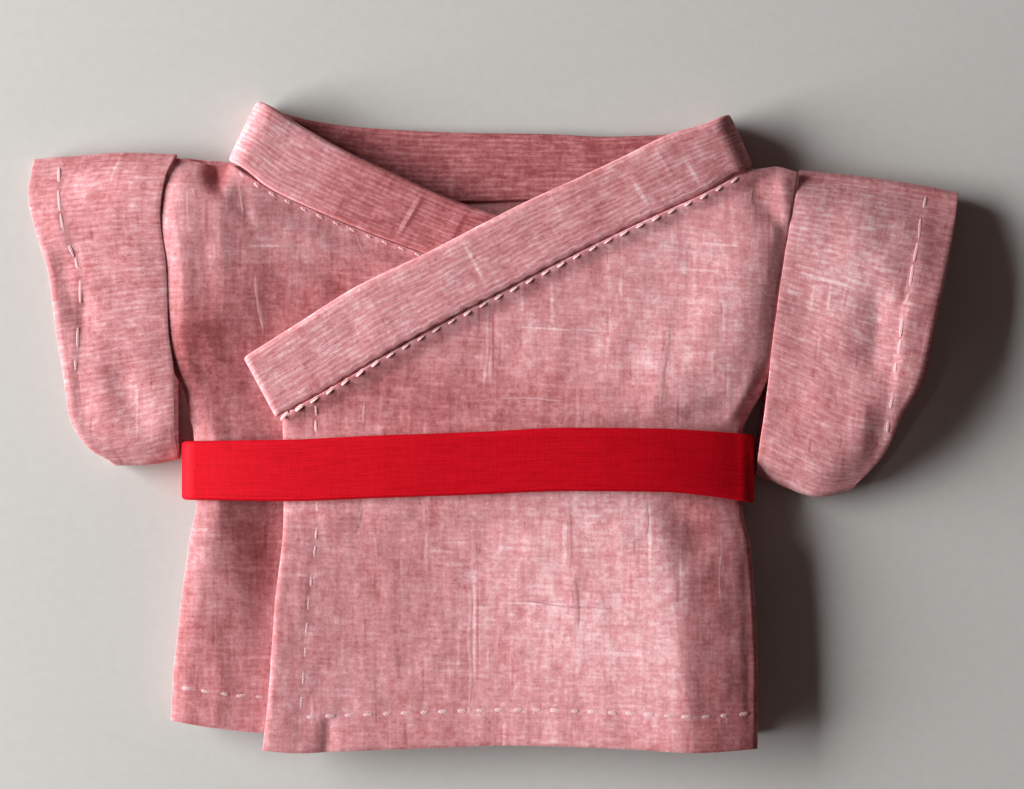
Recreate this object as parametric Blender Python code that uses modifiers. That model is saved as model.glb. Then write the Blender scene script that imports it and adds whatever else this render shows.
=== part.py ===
"""A doll's short yukata laid flat with its front up, wrapped left over right and belted.

The tables are in millimetres: X runs to the right of someone looking at the front, Y towards the neck and Z up
from the surface that the garment lies on. Heights are those of the middle of a cloth's thickness.
"""

import math
from collections import namedtuple

import bmesh
import bpy

MM = 0.001

# Driving sizes
WALL = 1.0
BAND_WALL = 1.2
GAP = 0.3
LAYER = WALL + GAP
FLOOR_LAYER = WALL / 2
SEAM_INSET = 0.72
SLEEVE_FOLD = 1.0
SLEEVE_DOME = 2.6
BELT_WALL = 1.0
BELT_CORNER = 1.5
BELT_LEFT = -33.3
BELT_RIGHT = 27.6

# How finely each cloth is divided
BACK_ACROSS = 18
FRONT_ACROSS = 20
SIDE_CROWDING = 0.55
SLEEVE_OUT = 10
SLEEVE_FRONT_STEPS = 14
SLEEVE_BACK_STEPS = 8
SLEEVE_FOLD_STEPS = 5
COLLAR_ACROSS = 3
CREASE_STEPS = 7
BELT_ACROSS = 3
BELT_FRONT_STEPS = 30
BELT_BACK_STEPS = 14
BELT_CORNER_STEPS = 4

Point = namedtuple("Point", "x y")
Fold = namedtuple("Fold", "x_start y_start x_end y_end reach depth")
UnderRow = namedtuple("UnderRow", "y edge ridge valley middle far")
OverRow = namedtuple("OverRow", "y free left middle crown turn edge")
BandRow = namedtuple("BandRow", "seam_x seam_y seam_z free_x free_y free_z")
BeltRow = namedtuple("BeltRow", "x line width")
SleeveRow = namedtuple("SleeveRow", "share crown lean")
Sleeve = namedtuple("Sleeve", "armhole cuff top bottom rows folds")

# Where the rows of the body's panels lie, hem to shoulder: closer together beside the belt and at the shoulder
WAIST = -4.5
BODY_LEVELS = (
    -35.0, -32.5, -29.5, -26.0, -22.5, -19.0, -16.0, -13.5, -11.5, -10.0, -8.6, -6.5, -4.0, -1.5,
    -0.2, 1.4, 3.2, 5.4, 8.0, 11.0, 14.5, 18.0, 21.0, 23.5, 25.5, 27.0, 28.4,
)

# Outlines of the body, as x at a height y
UNDER_SIDE = (
    Point(-34.9, -35.0), Point(-34.5, -27.5), Point(-33.8, -21.0), Point(-33.1, -15.5), Point(-32.5, -11.5),
    Point(-31.9, -8.6), Point(-31.9, -1.0), Point(-32.6, 1.5), Point(-33.2, 4.0), Point(-34.2, 5.6),
    Point(-34.8, 8.5), Point(-34.9, 15.5), Point(-35.3, 18.8), Point(-35.7, 22.0), Point(-35.3, 26.5),
    Point(-34.3, 28.8),
)
OVER_SIDE = (
    Point(28.1, -35.0), Point(28.1, -26.0), Point(27.8, -19.0), Point(27.3, -12.5), Point(26.6, -9.4),
    Point(26.5, -4.8), Point(26.6, -0.6), Point(27.4, 1.4), Point(28.5, 3.4), Point(29.2, 5.2),
    Point(29.8, 9.5), Point(30.4, 14.5), Point(31.1, 18.5), Point(31.8, 22.5), Point(32.4, 25.6),
    Point(32.8, 27.6),
)
UNDER_EDGE = (Point(16.2, -35.0), Point(16.8, -4.0), Point(17.2, 7.6))
OVER_EDGE = (Point(-24.9, -35.0), Point(-24.2, -28.5), Point(-23.5, -19.0), Point(-22.6, -10.0), Point(-22.7, 1.0))

# Hems and tops of the panels
UNDER_HEM = (Point(-34.9, -31.9), Point(-30.7, -32.6), Point(-24.9, -33.2), Point(16.0, -33.5))
OVER_HEM = (
    Point(-24.8, -34.9), Point(-21.1, -35.2), Point(-15.6, -35.0), Point(-7.4, -34.7), Point(2.5, -34.4),
    Point(14.9, -34.7), Point(21.8, -35.0), Point(28.1, -34.7),
)
BACK_HEM = (Point(-34.9, -31.4), Point(-24.0, -32.8), Point(28.1, -34.0))
UNDER_TOP = (Point(-34.3, 28.9), Point(-29.7, 28.2), Point(-20.0, 28.0))
OVER_TOP = (Point(28.8, 27.6), Point(30.4, 27.9), Point(32.8, 27.3))
BACK_TOP = (
    Point(-34.3, 28.5), Point(-29.3, 28.2), Point(-22.4, 26.0), Point(-17.0, 24.6), Point(-10.5, 23.9),
    Point(-3.0, 23.8), Point(5.0, 24.0), Point(13.0, 24.3), Point(20.4, 25.1), Point(26.4, 26.7),
    Point(28.3, 27.3), Point(32.8, 27.1),
)

# The collar band's seam and free edges, from the over end, round the neck, to the hidden end
OVER_BAND = (
    BandRow(-23.4, 0.8, 4.9, -26.9, 7.3, 5.0),
    BandRow(-18.0, 3.8, 5.1, -21.5, 10.7, 5.1),
    BandRow(-11.1, 7.9, 5.3, -14.6, 15.0, 5.2),
    BandRow(-4.0, 11.8, 5.4, -7.3, 18.5, 5.3),
    BandRow(1.8, 14.8, 5.4, -1.7, 21.4, 5.3),
    BandRow(7.0, 17.5, 5.4, 3.4, 24.0, 5.2),
    BandRow(12.2, 20.1, 5.3, 8.4, 26.3, 5.0),
    BandRow(17.5, 22.6, 5.1, 13.7, 28.8, 4.7),
    BandRow(22.3, 24.8, 4.7, 18.6, 31.2, 4.4),
)
BACK_BAND = (
    BandRow(20.4, 25.6, 0.6, 18.3, 31.6, 0.6),
    BandRow(13.0, 24.7, 0.6, 12.0, 31.4, 0.6),
    BandRow(5.0, 24.4, 0.6, 5.0, 31.7, 0.6),
    BandRow(-3.0, 24.2, 0.6, -3.0, 31.8, 0.6),
    BandRow(-10.5, 24.3, 0.6, -10.0, 32.1, 0.6),
    BandRow(-17.0, 25.0, 0.6, -15.5, 32.5, 0.6),
    BandRow(-22.5, 26.4, 0.6, -20.2, 33.2, 0.6),
)
UNDER_BAND = (
    BandRow(-24.4, 25.6, 3.5, -20.8, 32.3, 3.3),
    BandRow(-19.4, 23.2, 3.4, -15.8, 29.5, 3.3),
    BandRow(-13.6, 20.8, 3.3, -10.2, 26.9, 3.3),
    BandRow(-8.0, 18.7, 3.3, -4.6, 24.4, 3.3),
    BandRow(-2.0, 16.4, 3.3, 1.4, 22.3, 3.3),
    BandRow(5.0, 13.2, 3.3, 8.4, 19.6, 3.3),
    BandRow(12.0, 10.2, 3.3, 15.4, 16.8, 3.3),
    BandRow(18.3, 7.4, 3.3, 21.5, 14.1, 3.3),
)
# The creases where the band turns over at the shoulders, seam end to free end, and its heights above and below
RIGHT_CREASE = BandRow(28.1, 28.0, 4.3, 25.4, 33.7, 4.3)
LEFT_CREASE = BandRow(-29.0, 28.7, 3.6, -25.7, 35.2, 3.6)

# Heights of the two fronts over the surface
UNDER_RELIEF = (
    UnderRow(-35.0, 1.8, 3.0, 2.4, 2.3, 2.3),
    UnderRow(-22.0, 1.8, 3.7, 2.5, 2.5, 2.5),
    UnderRow(-11.5, 2.3, 3.7, 2.9, 2.9, 2.9),
    UnderRow(-8.6, 3.1, 3.1, 3.1, 3.1, 3.1),
    UnderRow(-0.1, 3.1, 3.1, 3.1, 3.1, 3.1),
    UnderRow(3.0, 2.2, 3.6, 3.4, 3.2, 3.1),
    UnderRow(6.0, 3.2, 3.9, 3.6, 3.2, 3.1),
    UnderRow(12.0, 4.0, 4.2, 3.8, 3.2, 3.1),
    UnderRow(20.0, 4.1, 4.3, 3.9, 3.2, 3.1),
    UnderRow(25.0, 3.7, 3.9, 3.6, 3.2, 3.1),
    UnderRow(27.2, 2.9, 3.1, 3.1, 3.1, 3.1),
    UnderRow(28.4, 1.9, 1.9, 2.2, 3.1, 3.1),
)
UNDER_RIDGE_WIDTH = 2.2
UNDER_STATIONS = (-27.0, -12.0, 18.0)
OVER_RELIEF = (
    OverRow(-35.0, 3.9, 4.0, 4.2, 4.8, 3.9, 1.8),
    OverRow(-22.0, 4.2, 4.5, 4.8, 5.6, 4.6, 1.8),
    OverRow(-11.5, 4.6, 4.8, 5.0, 5.5, 4.5, 2.4),
    OverRow(-8.6, 4.4, 4.4, 4.4, 4.4, 4.0, 3.1),
    OverRow(-0.1, 4.4, 4.4, 4.4, 4.4, 4.0, 3.1),
    OverRow(3.0, 4.9, 5.0, 5.1, 5.4, 4.8, 2.3),
    OverRow(6.0, 5.1, 5.1, 5.2, 5.4, 5.0, 3.4),
    OverRow(12.0, 5.3, 5.3, 5.3, 5.3, 5.0, 4.3),
    OverRow(20.0, 5.2, 5.2, 5.2, 5.2, 5.0, 4.5),
    OverRow(25.0, 4.6, 4.6, 4.6, 4.6, 4.6, 4.1),
    OverRow(27.0, 3.8, 3.8, 3.8, 3.8, 3.8, 3.1),
    OverRow(28.4, 1.9, 1.9, 1.9, 1.9, 1.9, 1.9),
)
OVER_STATIONS = (-24.0, -14.0, 3.0, 17.0, 23.5)

# The largest folds, as soft troughs and ridges along a line
UNDER_FOLDS = (
    Fold(-30.4, 27.4, -29.6, 25.6, 1.3, -0.9),
    Fold(-32.8, 25.0, -32.9, 14.0, 1.0, 0.4),
    Fold(-29.0, -33.0, -27.0, -13.0, 2.2, -0.4),
)
OVER_FOLDS = (
    Fold(28.2, 24.0, 31.2, 20.8, 1.2, -0.6),
    Fold(28.0, 26.6, 28.2, 23.2, 0.8, -0.4),
    Fold(21.4, 1.0, 25.4, 2.2, 1.4, -0.7),
    Fold(18.0, -9.6, 19.6, -11.2, 1.3, -0.5),
    Fold(18.3, 12.5, 17.0, 2.0, 0.9, 0.3),
    Fold(-18.0, -34.5, -18.2, -31.0, 1.1, -0.4),
)

# The sleeves: their ends from top to bottom, their edges from the armhole out, and the crown of the front layer
SLEEVE_RIGHT = Sleeve(
    armhole=(
        Point(-34.7, 28.9), Point(-35.6, 26.5), Point(-36.1, 22.5), Point(-35.5, 17.5), Point(-35.2, 10.0),
        Point(-34.6, 5.0), Point(-34.4, 0.0), Point(-34.3, -3.2),
    ),
    cuff=(
        Point(-49.8, 28.4), Point(-50.2, 25.0), Point(-49.3, 21.0), Point(-48.0, 16.3), Point(-47.4, 11.0),
        Point(-46.2, 5.0), Point(-45.6, 0.8), Point(-43.6, -2.4), Point(-41.0, -3.9),
    ),
    top=(Point(-34.7, 28.9), Point(-40.0, 29.1), Point(-46.0, 28.7), Point(-49.8, 28.4)),
    bottom=(Point(-34.3, -3.2), Point(-37.5, -3.8), Point(-41.0, -3.9)),
    rows=(SleeveRow(0.0, 4.3, 0.0), SleeveRow(0.5, 4.7, 0.0), SleeveRow(1.0, 4.4, 0.3)),
    folds=(
        Fold(-46.2, 17.5, -44.6, 12.0, 1.6, -0.8),
        Fold(-40.0, 4.5, -37.5, -1.0, 1.6, -0.5),
        Fold(-42.3, 8.0, -42.0, 1.0, 1.8, 0.4),
    ),
)
SLEEVE_LEFT = Sleeve(
    armhole=(
        Point(33.2, 27.2), Point(32.1, 22.5), Point(31.4, 18.5), Point(30.7, 14.0), Point(30.1, 9.5),
        Point(29.6, 5.0), Point(29.0, 1.0), Point(28.5, -2.0), Point(28.4, -4.9),
    ),
    cuff=(
        Point(50.1, 24.8), Point(49.2, 20.5), Point(48.3, 15.5), Point(47.5, 10.0), Point(46.6, 5.6),
        Point(44.6, 1.6), Point(42.0, -2.8), Point(38.6, -6.6),
    ),
    top=(Point(33.2, 27.2), Point(40.0, 26.5), Point(46.5, 25.5), Point(50.1, 24.8)),
    bottom=(Point(28.4, -4.9), Point(31.5, -6.2), Point(35.0, -7.3), Point(38.6, -6.6)),
    rows=(SleeveRow(0.0, 4.4, 0.0), SleeveRow(0.45, 5.0, 0.0), SleeveRow(1.0, 4.7, -0.9)),
    folds=(
        Fold(41.4, 15.0, 40.6, 4.0, 1.7, -1.2),
        Fold(39.6, 1.5, 38.6, -4.5, 1.3, 0.5),
    ),
)

# The belt's middle line and width, left to right
BELT_ROWS = (
    BeltRow(-33.8, -4.85, 6.3), BeltRow(-22.5, -4.8, 6.6), BeltRow(-12.8, -4.4, 6.7), BeltRow(-1.6, -4.0, 6.7),
    BeltRow(8.0, -3.6, 6.8), BeltRow(17.7, -3.7, 6.8), BeltRow(23.2, -4.1, 7.0), BeltRow(28.1, -4.7, 7.4),
)
BELT_STEP_START = -28.5
BELT_STEP_END = -23.6

# How far the back stops inside the fronts' edges, and its arch over the belt
BACK_INSET = 0.5
BACK_ARCH = 1.3
ARCH_HALF_WIDTH = 4.4
ARCH_RUN = 3.2


def curve(places, values, at):
    """Value at a place on a smooth curve that keeps between its neighbours, and flat beyond its ends."""
    if places[0] > places[-1]:
        places = places[::-1]
        values = values[::-1]
    at = min(max(at, places[0]), places[-1])
    last = len(places) - 2
    step = 0
    while step < last and at > places[step + 1]:
        step += 1
    spans = [places[i + 1] - places[i] for i in range(len(places) - 1)]
    rises = [(values[i + 1] - values[i]) / spans[i] for i in range(len(spans))]
    slopes = [rises[0]]
    for before, after in zip(rises, rises[1:]):
        slopes.append(2 * before * after / (before + after) if before * after > 0 else 0.0)
    slopes.append(rises[-1])
    share = (at - places[step]) / spans[step]
    turn = share * share * (3 - 2 * share)
    pull = share * (1 - share)
    return (
        values[step] + turn * (values[step + 1] - values[step])
        + pull * ((1 - share) * slopes[step] - share * slopes[step + 1]) * spans[step]
    )


def column(rows, place, value, at):
    """One named column of a table, read along another."""
    return curve([getattr(row, place) for row in rows], [getattr(row, value) for row in rows], at)


def x_on(points, y):
    return column(points, "y", "x", y)


def along(points, share):
    """Point at a share of the length of a line through the points."""
    lengths = [0.0]
    for a, b in zip(points, points[1:]):
        lengths.append(lengths[-1] + math.dist(a, b))
    at = share * lengths[-1]
    return (
        curve(lengths, [p.x for p in points], at),
        curve(lengths, [p.y for p in points], at),
    )


def ease(share):
    share = min(max(share, 0.0), 1.0)
    return share * share * (3 - 2 * share)


def folded(folds, x, y):
    """How far the folds lift or sink the cloth at a point."""
    total = 0.0
    for fold in folds:
        run_x = fold.x_end - fold.x_start
        run_y = fold.y_end - fold.y_start
        share = ((x - fold.x_start) * run_x + (y - fold.y_start) * run_y) / (run_x**2 + run_y**2)
        share = min(max(share, 0.0), 1.0)
        away = math.hypot(x - fold.x_start - share * run_x, y - fold.y_start - share * run_y)
        total += fold.depth * math.exp(-((away / fold.reach) ** 2))
    return total


def under_height(x, y):
    side = x_on(UNDER_SIDE, y)
    places = (side, side + UNDER_RIDGE_WIDTH) + UNDER_STATIONS
    heights = [column(UNDER_RELIEF, "y", name, y) for name in UnderRow._fields[1:]]
    return curve(places, heights, x) + folded(UNDER_FOLDS, x, y)


def over_height(x, y):
    side = x_on(OVER_SIDE, y)
    places = OVER_STATIONS + (side,)
    heights = [column(OVER_RELIEF, "y", name, y) for name in OverRow._fields[1:]]
    return curve(places, heights, x) + folded(OVER_FOLDS, x, y)


def under_seam(y):
    """Right edge of the under front: its free edge below, the collar's seam above."""
    seam = [Point(row.seam_x - SEAM_INSET, row.seam_y) for row in UNDER_BAND[::-1]]
    seam.append(Point(LEFT_CREASE.seam_x - SEAM_INSET, LEFT_CREASE.seam_y))
    start = UNDER_EDGE[-1].y
    return x_on(UNDER_EDGE, y) if y <= start else min(x_on(seam, y), UNDER_EDGE[-1].x)


def over_seam(y):
    """Left edge of the over front: its free edge below, the collar's seam above."""
    seam = [Point(row.seam_x + SEAM_INSET, row.seam_y) for row in OVER_BAND]
    seam.append(Point(RIGHT_CREASE.seam_x + SEAM_INSET, RIGHT_CREASE.seam_y))
    start = OVER_EDGE[-1].y
    return x_on(OVER_EDGE, y) if y <= start else max(x_on(seam, y), OVER_EDGE[-1].x)


def level(share):
    """Height y of a row of the body's grid."""
    return BODY_LEVELS[round(share * (len(BODY_LEVELS) - 1))]


def between(y, hem, top):
    """A row's height y, stretched from the waist so that the rows run from a panel's hem to its top."""
    if y < WAIST:
        return WAIST + (y - WAIST) * (hem - WAIST) / (BODY_LEVELS[0] - WAIST)
    return WAIST + (y - WAIST) * (top - WAIST) / (BODY_LEVELS[-1] - WAIST)


def spread(share):
    """Share of the way across with the columns closer together at both sides."""
    crowded = (1 - math.cos(math.pi * share)) / 2
    return (1 - SIDE_CROWDING) * share + SIDE_CROWDING * crowded


def body_point(across, up, left_edge, right_edge, hem, top):
    """Point of a panel seen from above, between its four edges."""
    y = level(up)
    share = spread(across)
    rough_x = left_edge(y) + share * (right_edge(y) - left_edge(y))
    y = between(y, column(hem, "x", "y", rough_x), column(top, "x", "y", rough_x))
    return left_edge(y) + share * (right_edge(y) - left_edge(y)), y


def under_side(y):
    return x_on(UNDER_SIDE, y)


def over_side(y):
    return x_on(OVER_SIDE, y)


def under_point(across, up):
    x, y = body_point(across, up, under_side, under_seam, UNDER_HEM, UNDER_TOP)
    return x, y, under_height(x, y)


def over_point(across, up):
    x, y = body_point(across, up, over_seam, over_side, OVER_HEM, OVER_TOP)
    return x, y, over_height(x, y)


def back_left(y):
    return under_side(y) + BACK_INSET


def back_right(y):
    return over_side(y) - BACK_INSET


def back_point(across, up):
    x, y = body_point(across, up, back_left, back_right, BACK_HEM, BACK_TOP)
    off = abs(y - column(BELT_ROWS, "x", "line", x)) - ARCH_HALF_WIDTH
    return x, y, FLOOR_LAYER + BACK_ARCH * (1 - ease(off / ARCH_RUN))


def sleeve_place(sleeve, down, out):
    """Point of a sleeve seen from above, between its four edges."""
    from_armhole = along(sleeve.armhole, down)
    from_cuff = along(sleeve.cuff, down)
    from_top = along(sleeve.top, out)
    from_bottom = along(sleeve.bottom, out)
    place = []
    for axis in (0, 1):
        corners = (
            (1 - down) * ((1 - out) * sleeve.top[0][axis] + out * sleeve.top[-1][axis])
            + down * ((1 - out) * sleeve.bottom[0][axis] + out * sleeve.bottom[-1][axis])
        )
        place.append(
            (1 - out) * from_armhole[axis] + out * from_cuff[axis]
            + (1 - down) * from_top[axis] + down * from_bottom[axis] - corners
        )
    return place


def sleeve_ring():
    """Stretches round a sleeve's section in order, each point with its share of the stretch."""
    steps = {
        "front": SLEEVE_FRONT_STEPS, "bottom": SLEEVE_FOLD_STEPS, "back": SLEEVE_BACK_STEPS, "top": SLEEVE_FOLD_STEPS,
    }
    return [(stretch, step / count) for stretch, count in steps.items() for step in range(count)]


def sleeve_maker(sleeve):
    """Points of a flattened tube: the front layer domed, the back layer flat, a fold along the top and bottom."""
    ring = sleeve_ring()
    fold_middle = FLOOR_LAYER + SLEEVE_FOLD
    front_low = fold_middle + SLEEVE_FOLD

    def place(around, out):
        stretch, share = ring[round(around * len(ring)) % len(ring)]
        fold = SLEEVE_FOLD / math.dist(sleeve_place(sleeve, 0, out), sleeve_place(sleeve, 1, out))
        bulge = fold * math.sin(math.pi * share)
        down = {
            "front": fold + share * (1 - 2 * fold),
            "bottom": 1 - fold + bulge,
            "back": 1 - fold - share * (1 - 2 * fold),
            "top": fold - bulge,
        }[stretch]
        x, y = sleeve_place(sleeve, down, out)
        if stretch == "front":
            dome = 1 - abs(2 * share - 1) ** SLEEVE_DOME
            crown = column(sleeve.rows, "share", "crown", out)
            x += column(sleeve.rows, "share", "lean", out) * math.sin(math.pi * share) ** 2
            return x, y, front_low + (crown - front_low + folded(sleeve.folds, x, y)) * dome
        turn = SLEEVE_FOLD * math.cos(math.pi * share)
        return x, y, {"bottom": fold_middle + turn, "back": FLOOR_LAYER, "top": fold_middle - turn}[stretch]

    return place, len(ring)


def crease(row, goes_down):
    """Rows of the collar band round its crease at a shoulder, from the front layer to the back one or back."""
    run_x = row.free_x - row.seam_x
    run_y = row.free_y - row.seam_y
    length = math.hypot(run_x, run_y)
    side = 1 if row.seam_x > 0 else -1
    out_x = side * run_y / length
    out_y = -side * run_x / length
    low = BAND_WALL / 2
    radius = (row.seam_z - low) / 2
    rows = []
    for step in range(CREASE_STEPS + 1):
        angle = math.pi * (0.5 - step / CREASE_STEPS)
        shift = radius * (math.cos(angle) - 1) - BAND_WALL / 2
        z = low + radius + radius * math.sin(angle)
        rows.append(
            BandRow(
                row.seam_x + out_x * shift, row.seam_y + out_y * shift, z,
                row.free_x + out_x * shift, row.free_y + out_y * shift, z,
            )
        )
    return rows if goes_down else rows[::-1]


def collar_rows():
    rows = list(OVER_BAND)
    rows += crease(RIGHT_CREASE, True)
    rows += BACK_BAND
    rows += crease(LEFT_CREASE, False)
    rows += UNDER_BAND
    return rows


def collar_maker():
    rows = collar_rows()

    def place(across, onward):
        row = rows[round(onward * (len(rows) - 1))]
        return (
            row.seam_x + across * (row.free_x - row.seam_x),
            row.seam_y + across * (row.free_y - row.seam_y),
            row.seam_z + across * (row.free_z - row.seam_z),
        )

    return place, len(rows) - 1


def belt_front_height(x):
    """Middle of the belt on the front: one layer above the front that it lies on there."""
    y = column(BELT_ROWS, "x", "line", x)
    step = ease((x - BELT_STEP_START) / (BELT_STEP_END - BELT_STEP_START))
    return LAYER + (1 - step) * under_height(x, y) + step * over_height(max(x, BELT_STEP_END), y)


def belt_corner(start, middle_x, middle_z):
    """Points round one corner of the belt's loop, leaving out the last."""
    angles = [start - math.pi / 2 * step / BELT_CORNER_STEPS for step in range(BELT_CORNER_STEPS)]
    return [(middle_x + BELT_CORNER * math.cos(a), middle_z + BELT_CORNER * math.sin(a)) for a in angles]


def belt_loop():
    """Points (x, z) round the belt: along the front, down the right end, back underneath and up the left end."""
    low = BELT_WALL / 2
    right = BELT_RIGHT - BELT_CORNER
    left = BELT_LEFT + BELT_CORNER
    points = []
    for step in range(BELT_FRONT_STEPS):
        x = left + (right - left) * step / BELT_FRONT_STEPS
        points.append((x, belt_front_height(x)))
    points += belt_corner(math.pi / 2, right, belt_front_height(right) - BELT_CORNER)
    points += belt_corner(0, right, low + BELT_CORNER)
    for step in range(BELT_BACK_STEPS):
        points.append((right - (right - left) * step / BELT_BACK_STEPS, low))
    points += belt_corner(-math.pi / 2, left, low + BELT_CORNER)
    points += belt_corner(math.pi, left, belt_front_height(left) - BELT_CORNER)
    return points


def belt_maker():
    loop = belt_loop()

    def place(around, across):
        x, z = loop[round(around * len(loop)) % len(loop)]
        y = column(BELT_ROWS, "x", "line", x) + (across - 0.5) * column(BELT_ROWS, "x", "width", x)
        return x, y, z

    return place, len(loop)


def cloth_material(name, colour, roughness):
    material = bpy.data.materials.new(name)
    material.use_nodes = True
    shader = material.node_tree.nodes["Principled BSDF"]
    shader.inputs["Base Color"].default_value = (*colour, 1)
    shader.inputs["Roughness"].default_value = roughness
    shader.inputs["Metallic"].default_value = 0
    return material


def cloth(name, collection, parent, place, grid, wall, material, closed=False):
    """A sheet of cloth: a grid laid through the points of a piece and given its thickness."""
    mesh = bpy.data.meshes.new(name)
    sheet = bmesh.new()
    bmesh.ops.create_grid(sheet, x_segments=grid[0], y_segments=grid[1], size=0.5)
    for vert in sheet.verts:
        vert.co = [MM * value for value in place(vert.co.x + 0.5, vert.co.y + 0.5)]
    if closed:
        bmesh.ops.remove_doubles(sheet, verts=sheet.verts, dist=MM / 1000)
    sheet.to_mesh(mesh)
    sheet.free()
    mesh.shade_smooth()
    mesh.materials.append(material)
    piece = bpy.data.objects.new(name, mesh)
    piece.parent = parent
    collection.objects.link(piece)
    thickness = piece.modifiers.new("Thickness", "SOLIDIFY")
    thickness.thickness = wall * MM
    thickness.offset = 0
    return piece


def clear_scene():
    for thing in list(bpy.data.objects):
        bpy.data.objects.remove(thing)


def build():
    clear_scene()
    collection = bpy.data.collections.new("yukata")
    bpy.context.scene.collection.children.link(collection)
    garment = bpy.data.objects.new("garment", None)
    collection.objects.link(garment)
    cotton = cloth_material("slub_cotton", (0.50, 0.19, 0.21), 0.9)
    tape = cloth_material("red_tape", (0.58, 0.004, 0.022), 0.6)

    rows = len(BODY_LEVELS) - 1
    cloth("back", collection, garment, back_point, (BACK_ACROSS, rows), WALL, cotton)
    cloth("front_right", collection, garment, under_point, (FRONT_ACROSS, rows), WALL, cotton)
    cloth("front_left", collection, garment, over_point, (FRONT_ACROSS, rows), WALL, cotton)
    for name, sleeve in (("sleeve_right", SLEEVE_RIGHT), ("sleeve_left", SLEEVE_LEFT)):
        place, around = sleeve_maker(sleeve)
        cloth(name, collection, garment, place, (around, SLEEVE_OUT), WALL, cotton, closed=True)
    place, onward = collar_maker()
    cloth("collar", collection, garment, place, (COLLAR_ACROSS, onward), BAND_WALL, cotton)
    place, around = belt_maker()
    cloth("belt", collection, garment, place, (around, BELT_ACROSS), BELT_WALL, tape, closed=True)


build()
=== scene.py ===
"""The looks of a doll's short yukata laid flat: slub cotton panels, sleeves, collar, tape belt and stitches.

Sizes are in millimetres, and a mesh is made in metres when it is finished. X runs to the right of someone
looking at the front, Y towards the neck and Z up from the surface that the garment lies on.
"""

import logging
import math
from dataclasses import dataclass, field
from enum import Enum
from functools import reduce
from typing import Callable, NamedTuple, Sequence

import bmesh
import bpy
import numpy as np
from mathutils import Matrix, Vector


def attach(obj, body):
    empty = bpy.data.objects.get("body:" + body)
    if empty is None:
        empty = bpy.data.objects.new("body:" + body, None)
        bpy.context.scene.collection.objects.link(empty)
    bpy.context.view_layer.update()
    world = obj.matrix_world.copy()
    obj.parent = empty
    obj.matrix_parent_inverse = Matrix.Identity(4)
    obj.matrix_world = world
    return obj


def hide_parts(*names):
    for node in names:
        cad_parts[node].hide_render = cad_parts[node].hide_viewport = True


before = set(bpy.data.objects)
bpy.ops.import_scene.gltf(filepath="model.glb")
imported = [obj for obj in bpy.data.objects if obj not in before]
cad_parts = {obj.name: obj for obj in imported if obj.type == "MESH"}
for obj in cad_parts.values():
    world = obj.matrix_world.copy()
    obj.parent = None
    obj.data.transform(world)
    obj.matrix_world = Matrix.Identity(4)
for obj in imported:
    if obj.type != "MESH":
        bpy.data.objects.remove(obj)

logging.basicConfig(level=logging.INFO, format="%(message)s")
log = logging.getLogger("yukata")

MM = 0.001
ARRAY = np.ndarray
UV_PER_MM = 0.01

# Driving sizes, which the solids share
WALL = 1.0
BAND_WALL = 1.2
FLOOR_LAYER = WALL / 2
SLEEVE_FOLD = 1.0
SLEEVE_DOME = 2.6
BELT_CORNER = 1.5
BELT_LEFT = -33.3
BELT_RIGHT = 27.6

# Thickness of the cloth and how far its cut edges are rounded
PANEL_PLY = 0.85
PANEL_RIM = 0.18
BACK_PLY = 0.66
SLEEVE_PLY = 0.5
SLEEVE_RIM = 0.2
BAND_PLY_SHARE = 0.2

# Hems: their depth, how far they lift the cloth, and how it falls away past them
HEM_DEPTH = 3.9
HEM_RISE = 0.08
CUFF_RISE = 0.16
EDGE_HEM_DEPTH = 3.6
EDGE_HEM_TOP = 4.0
PLY_EARLY = 0.1
PLY_FALL = 0.7
HELD_REACH = 0.3
HEM_ROLL_REACH = 0.45

# How the fronts' sides and the sleeves' inner ends roll down at their edges
ROLL_REACH = 0.5
ROLL_CHANGE_START = 1.0
ROLL_CHANGE_RUN = 3.0
ARMHOLE_ROLL = 0.05

# How the fronts and the back go in under the collar band
TUCK = 1.7
TUCK_DIP = 1.0
TUCK_START = 0.2
TUCK_RUN = 0.3
BACK_TUCK = 0.45

# Distances between stitches, and how far ahead a seam's direction is read
HEM_PITCH = 2.01
EDGE_PITCH = 2.7
CUFF_PITCH = 2.5
COLLAR_PITCH = 1.88
SEAM_AHEAD = 0.1


class Slot(Enum):
    """The record's material slots."""

    COTTON = "slub_cotton"
    TAPE = "belt_tape"


class Point(NamedTuple):
    """A point seen from above."""

    x: float
    y: float


class OverShape(NamedTuple):
    """Heights of the over front's upper face at a height y, with the place of its crest."""

    y: float
    free: float
    left: float
    centre: float
    rise: float
    crest: float
    turn: float
    edge: float
    crest_x: float


class UnderShape(NamedTuple):
    """Heights of the under front's upper face at a height y."""

    y: float
    edge: float
    ridge: float
    fall: float
    valley: float
    middle: float
    far: float


class BeltTop(NamedTuple):
    """Height of the belt's outer face at a place x."""

    x: float
    z: float


class BandRow(NamedTuple):
    """The seam edge and the free edge of the collar band at one place along it."""

    seam_x: float
    seam_y: float
    seam_z: float
    free_x: float
    free_y: float
    free_z: float


class BeltRow(NamedTuple):
    """The belt's middle line and width at a place x."""

    x: float
    line: float
    width: float


class SleeveRow(NamedTuple):
    """A sleeve's crown, and the share of the cuff's lean that its front has, at a share of the way out."""

    share: float
    crown: float
    lean: float


class DownRow(NamedTuple):
    """A value at a share of the way down a sleeve."""

    down: float
    value: float


def rows_of(kind: Callable, *rows: tuple) -> tuple:
    """A table: rows of plain values under a kind's named columns."""
    return tuple(kind(*row) for row in rows)


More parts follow.
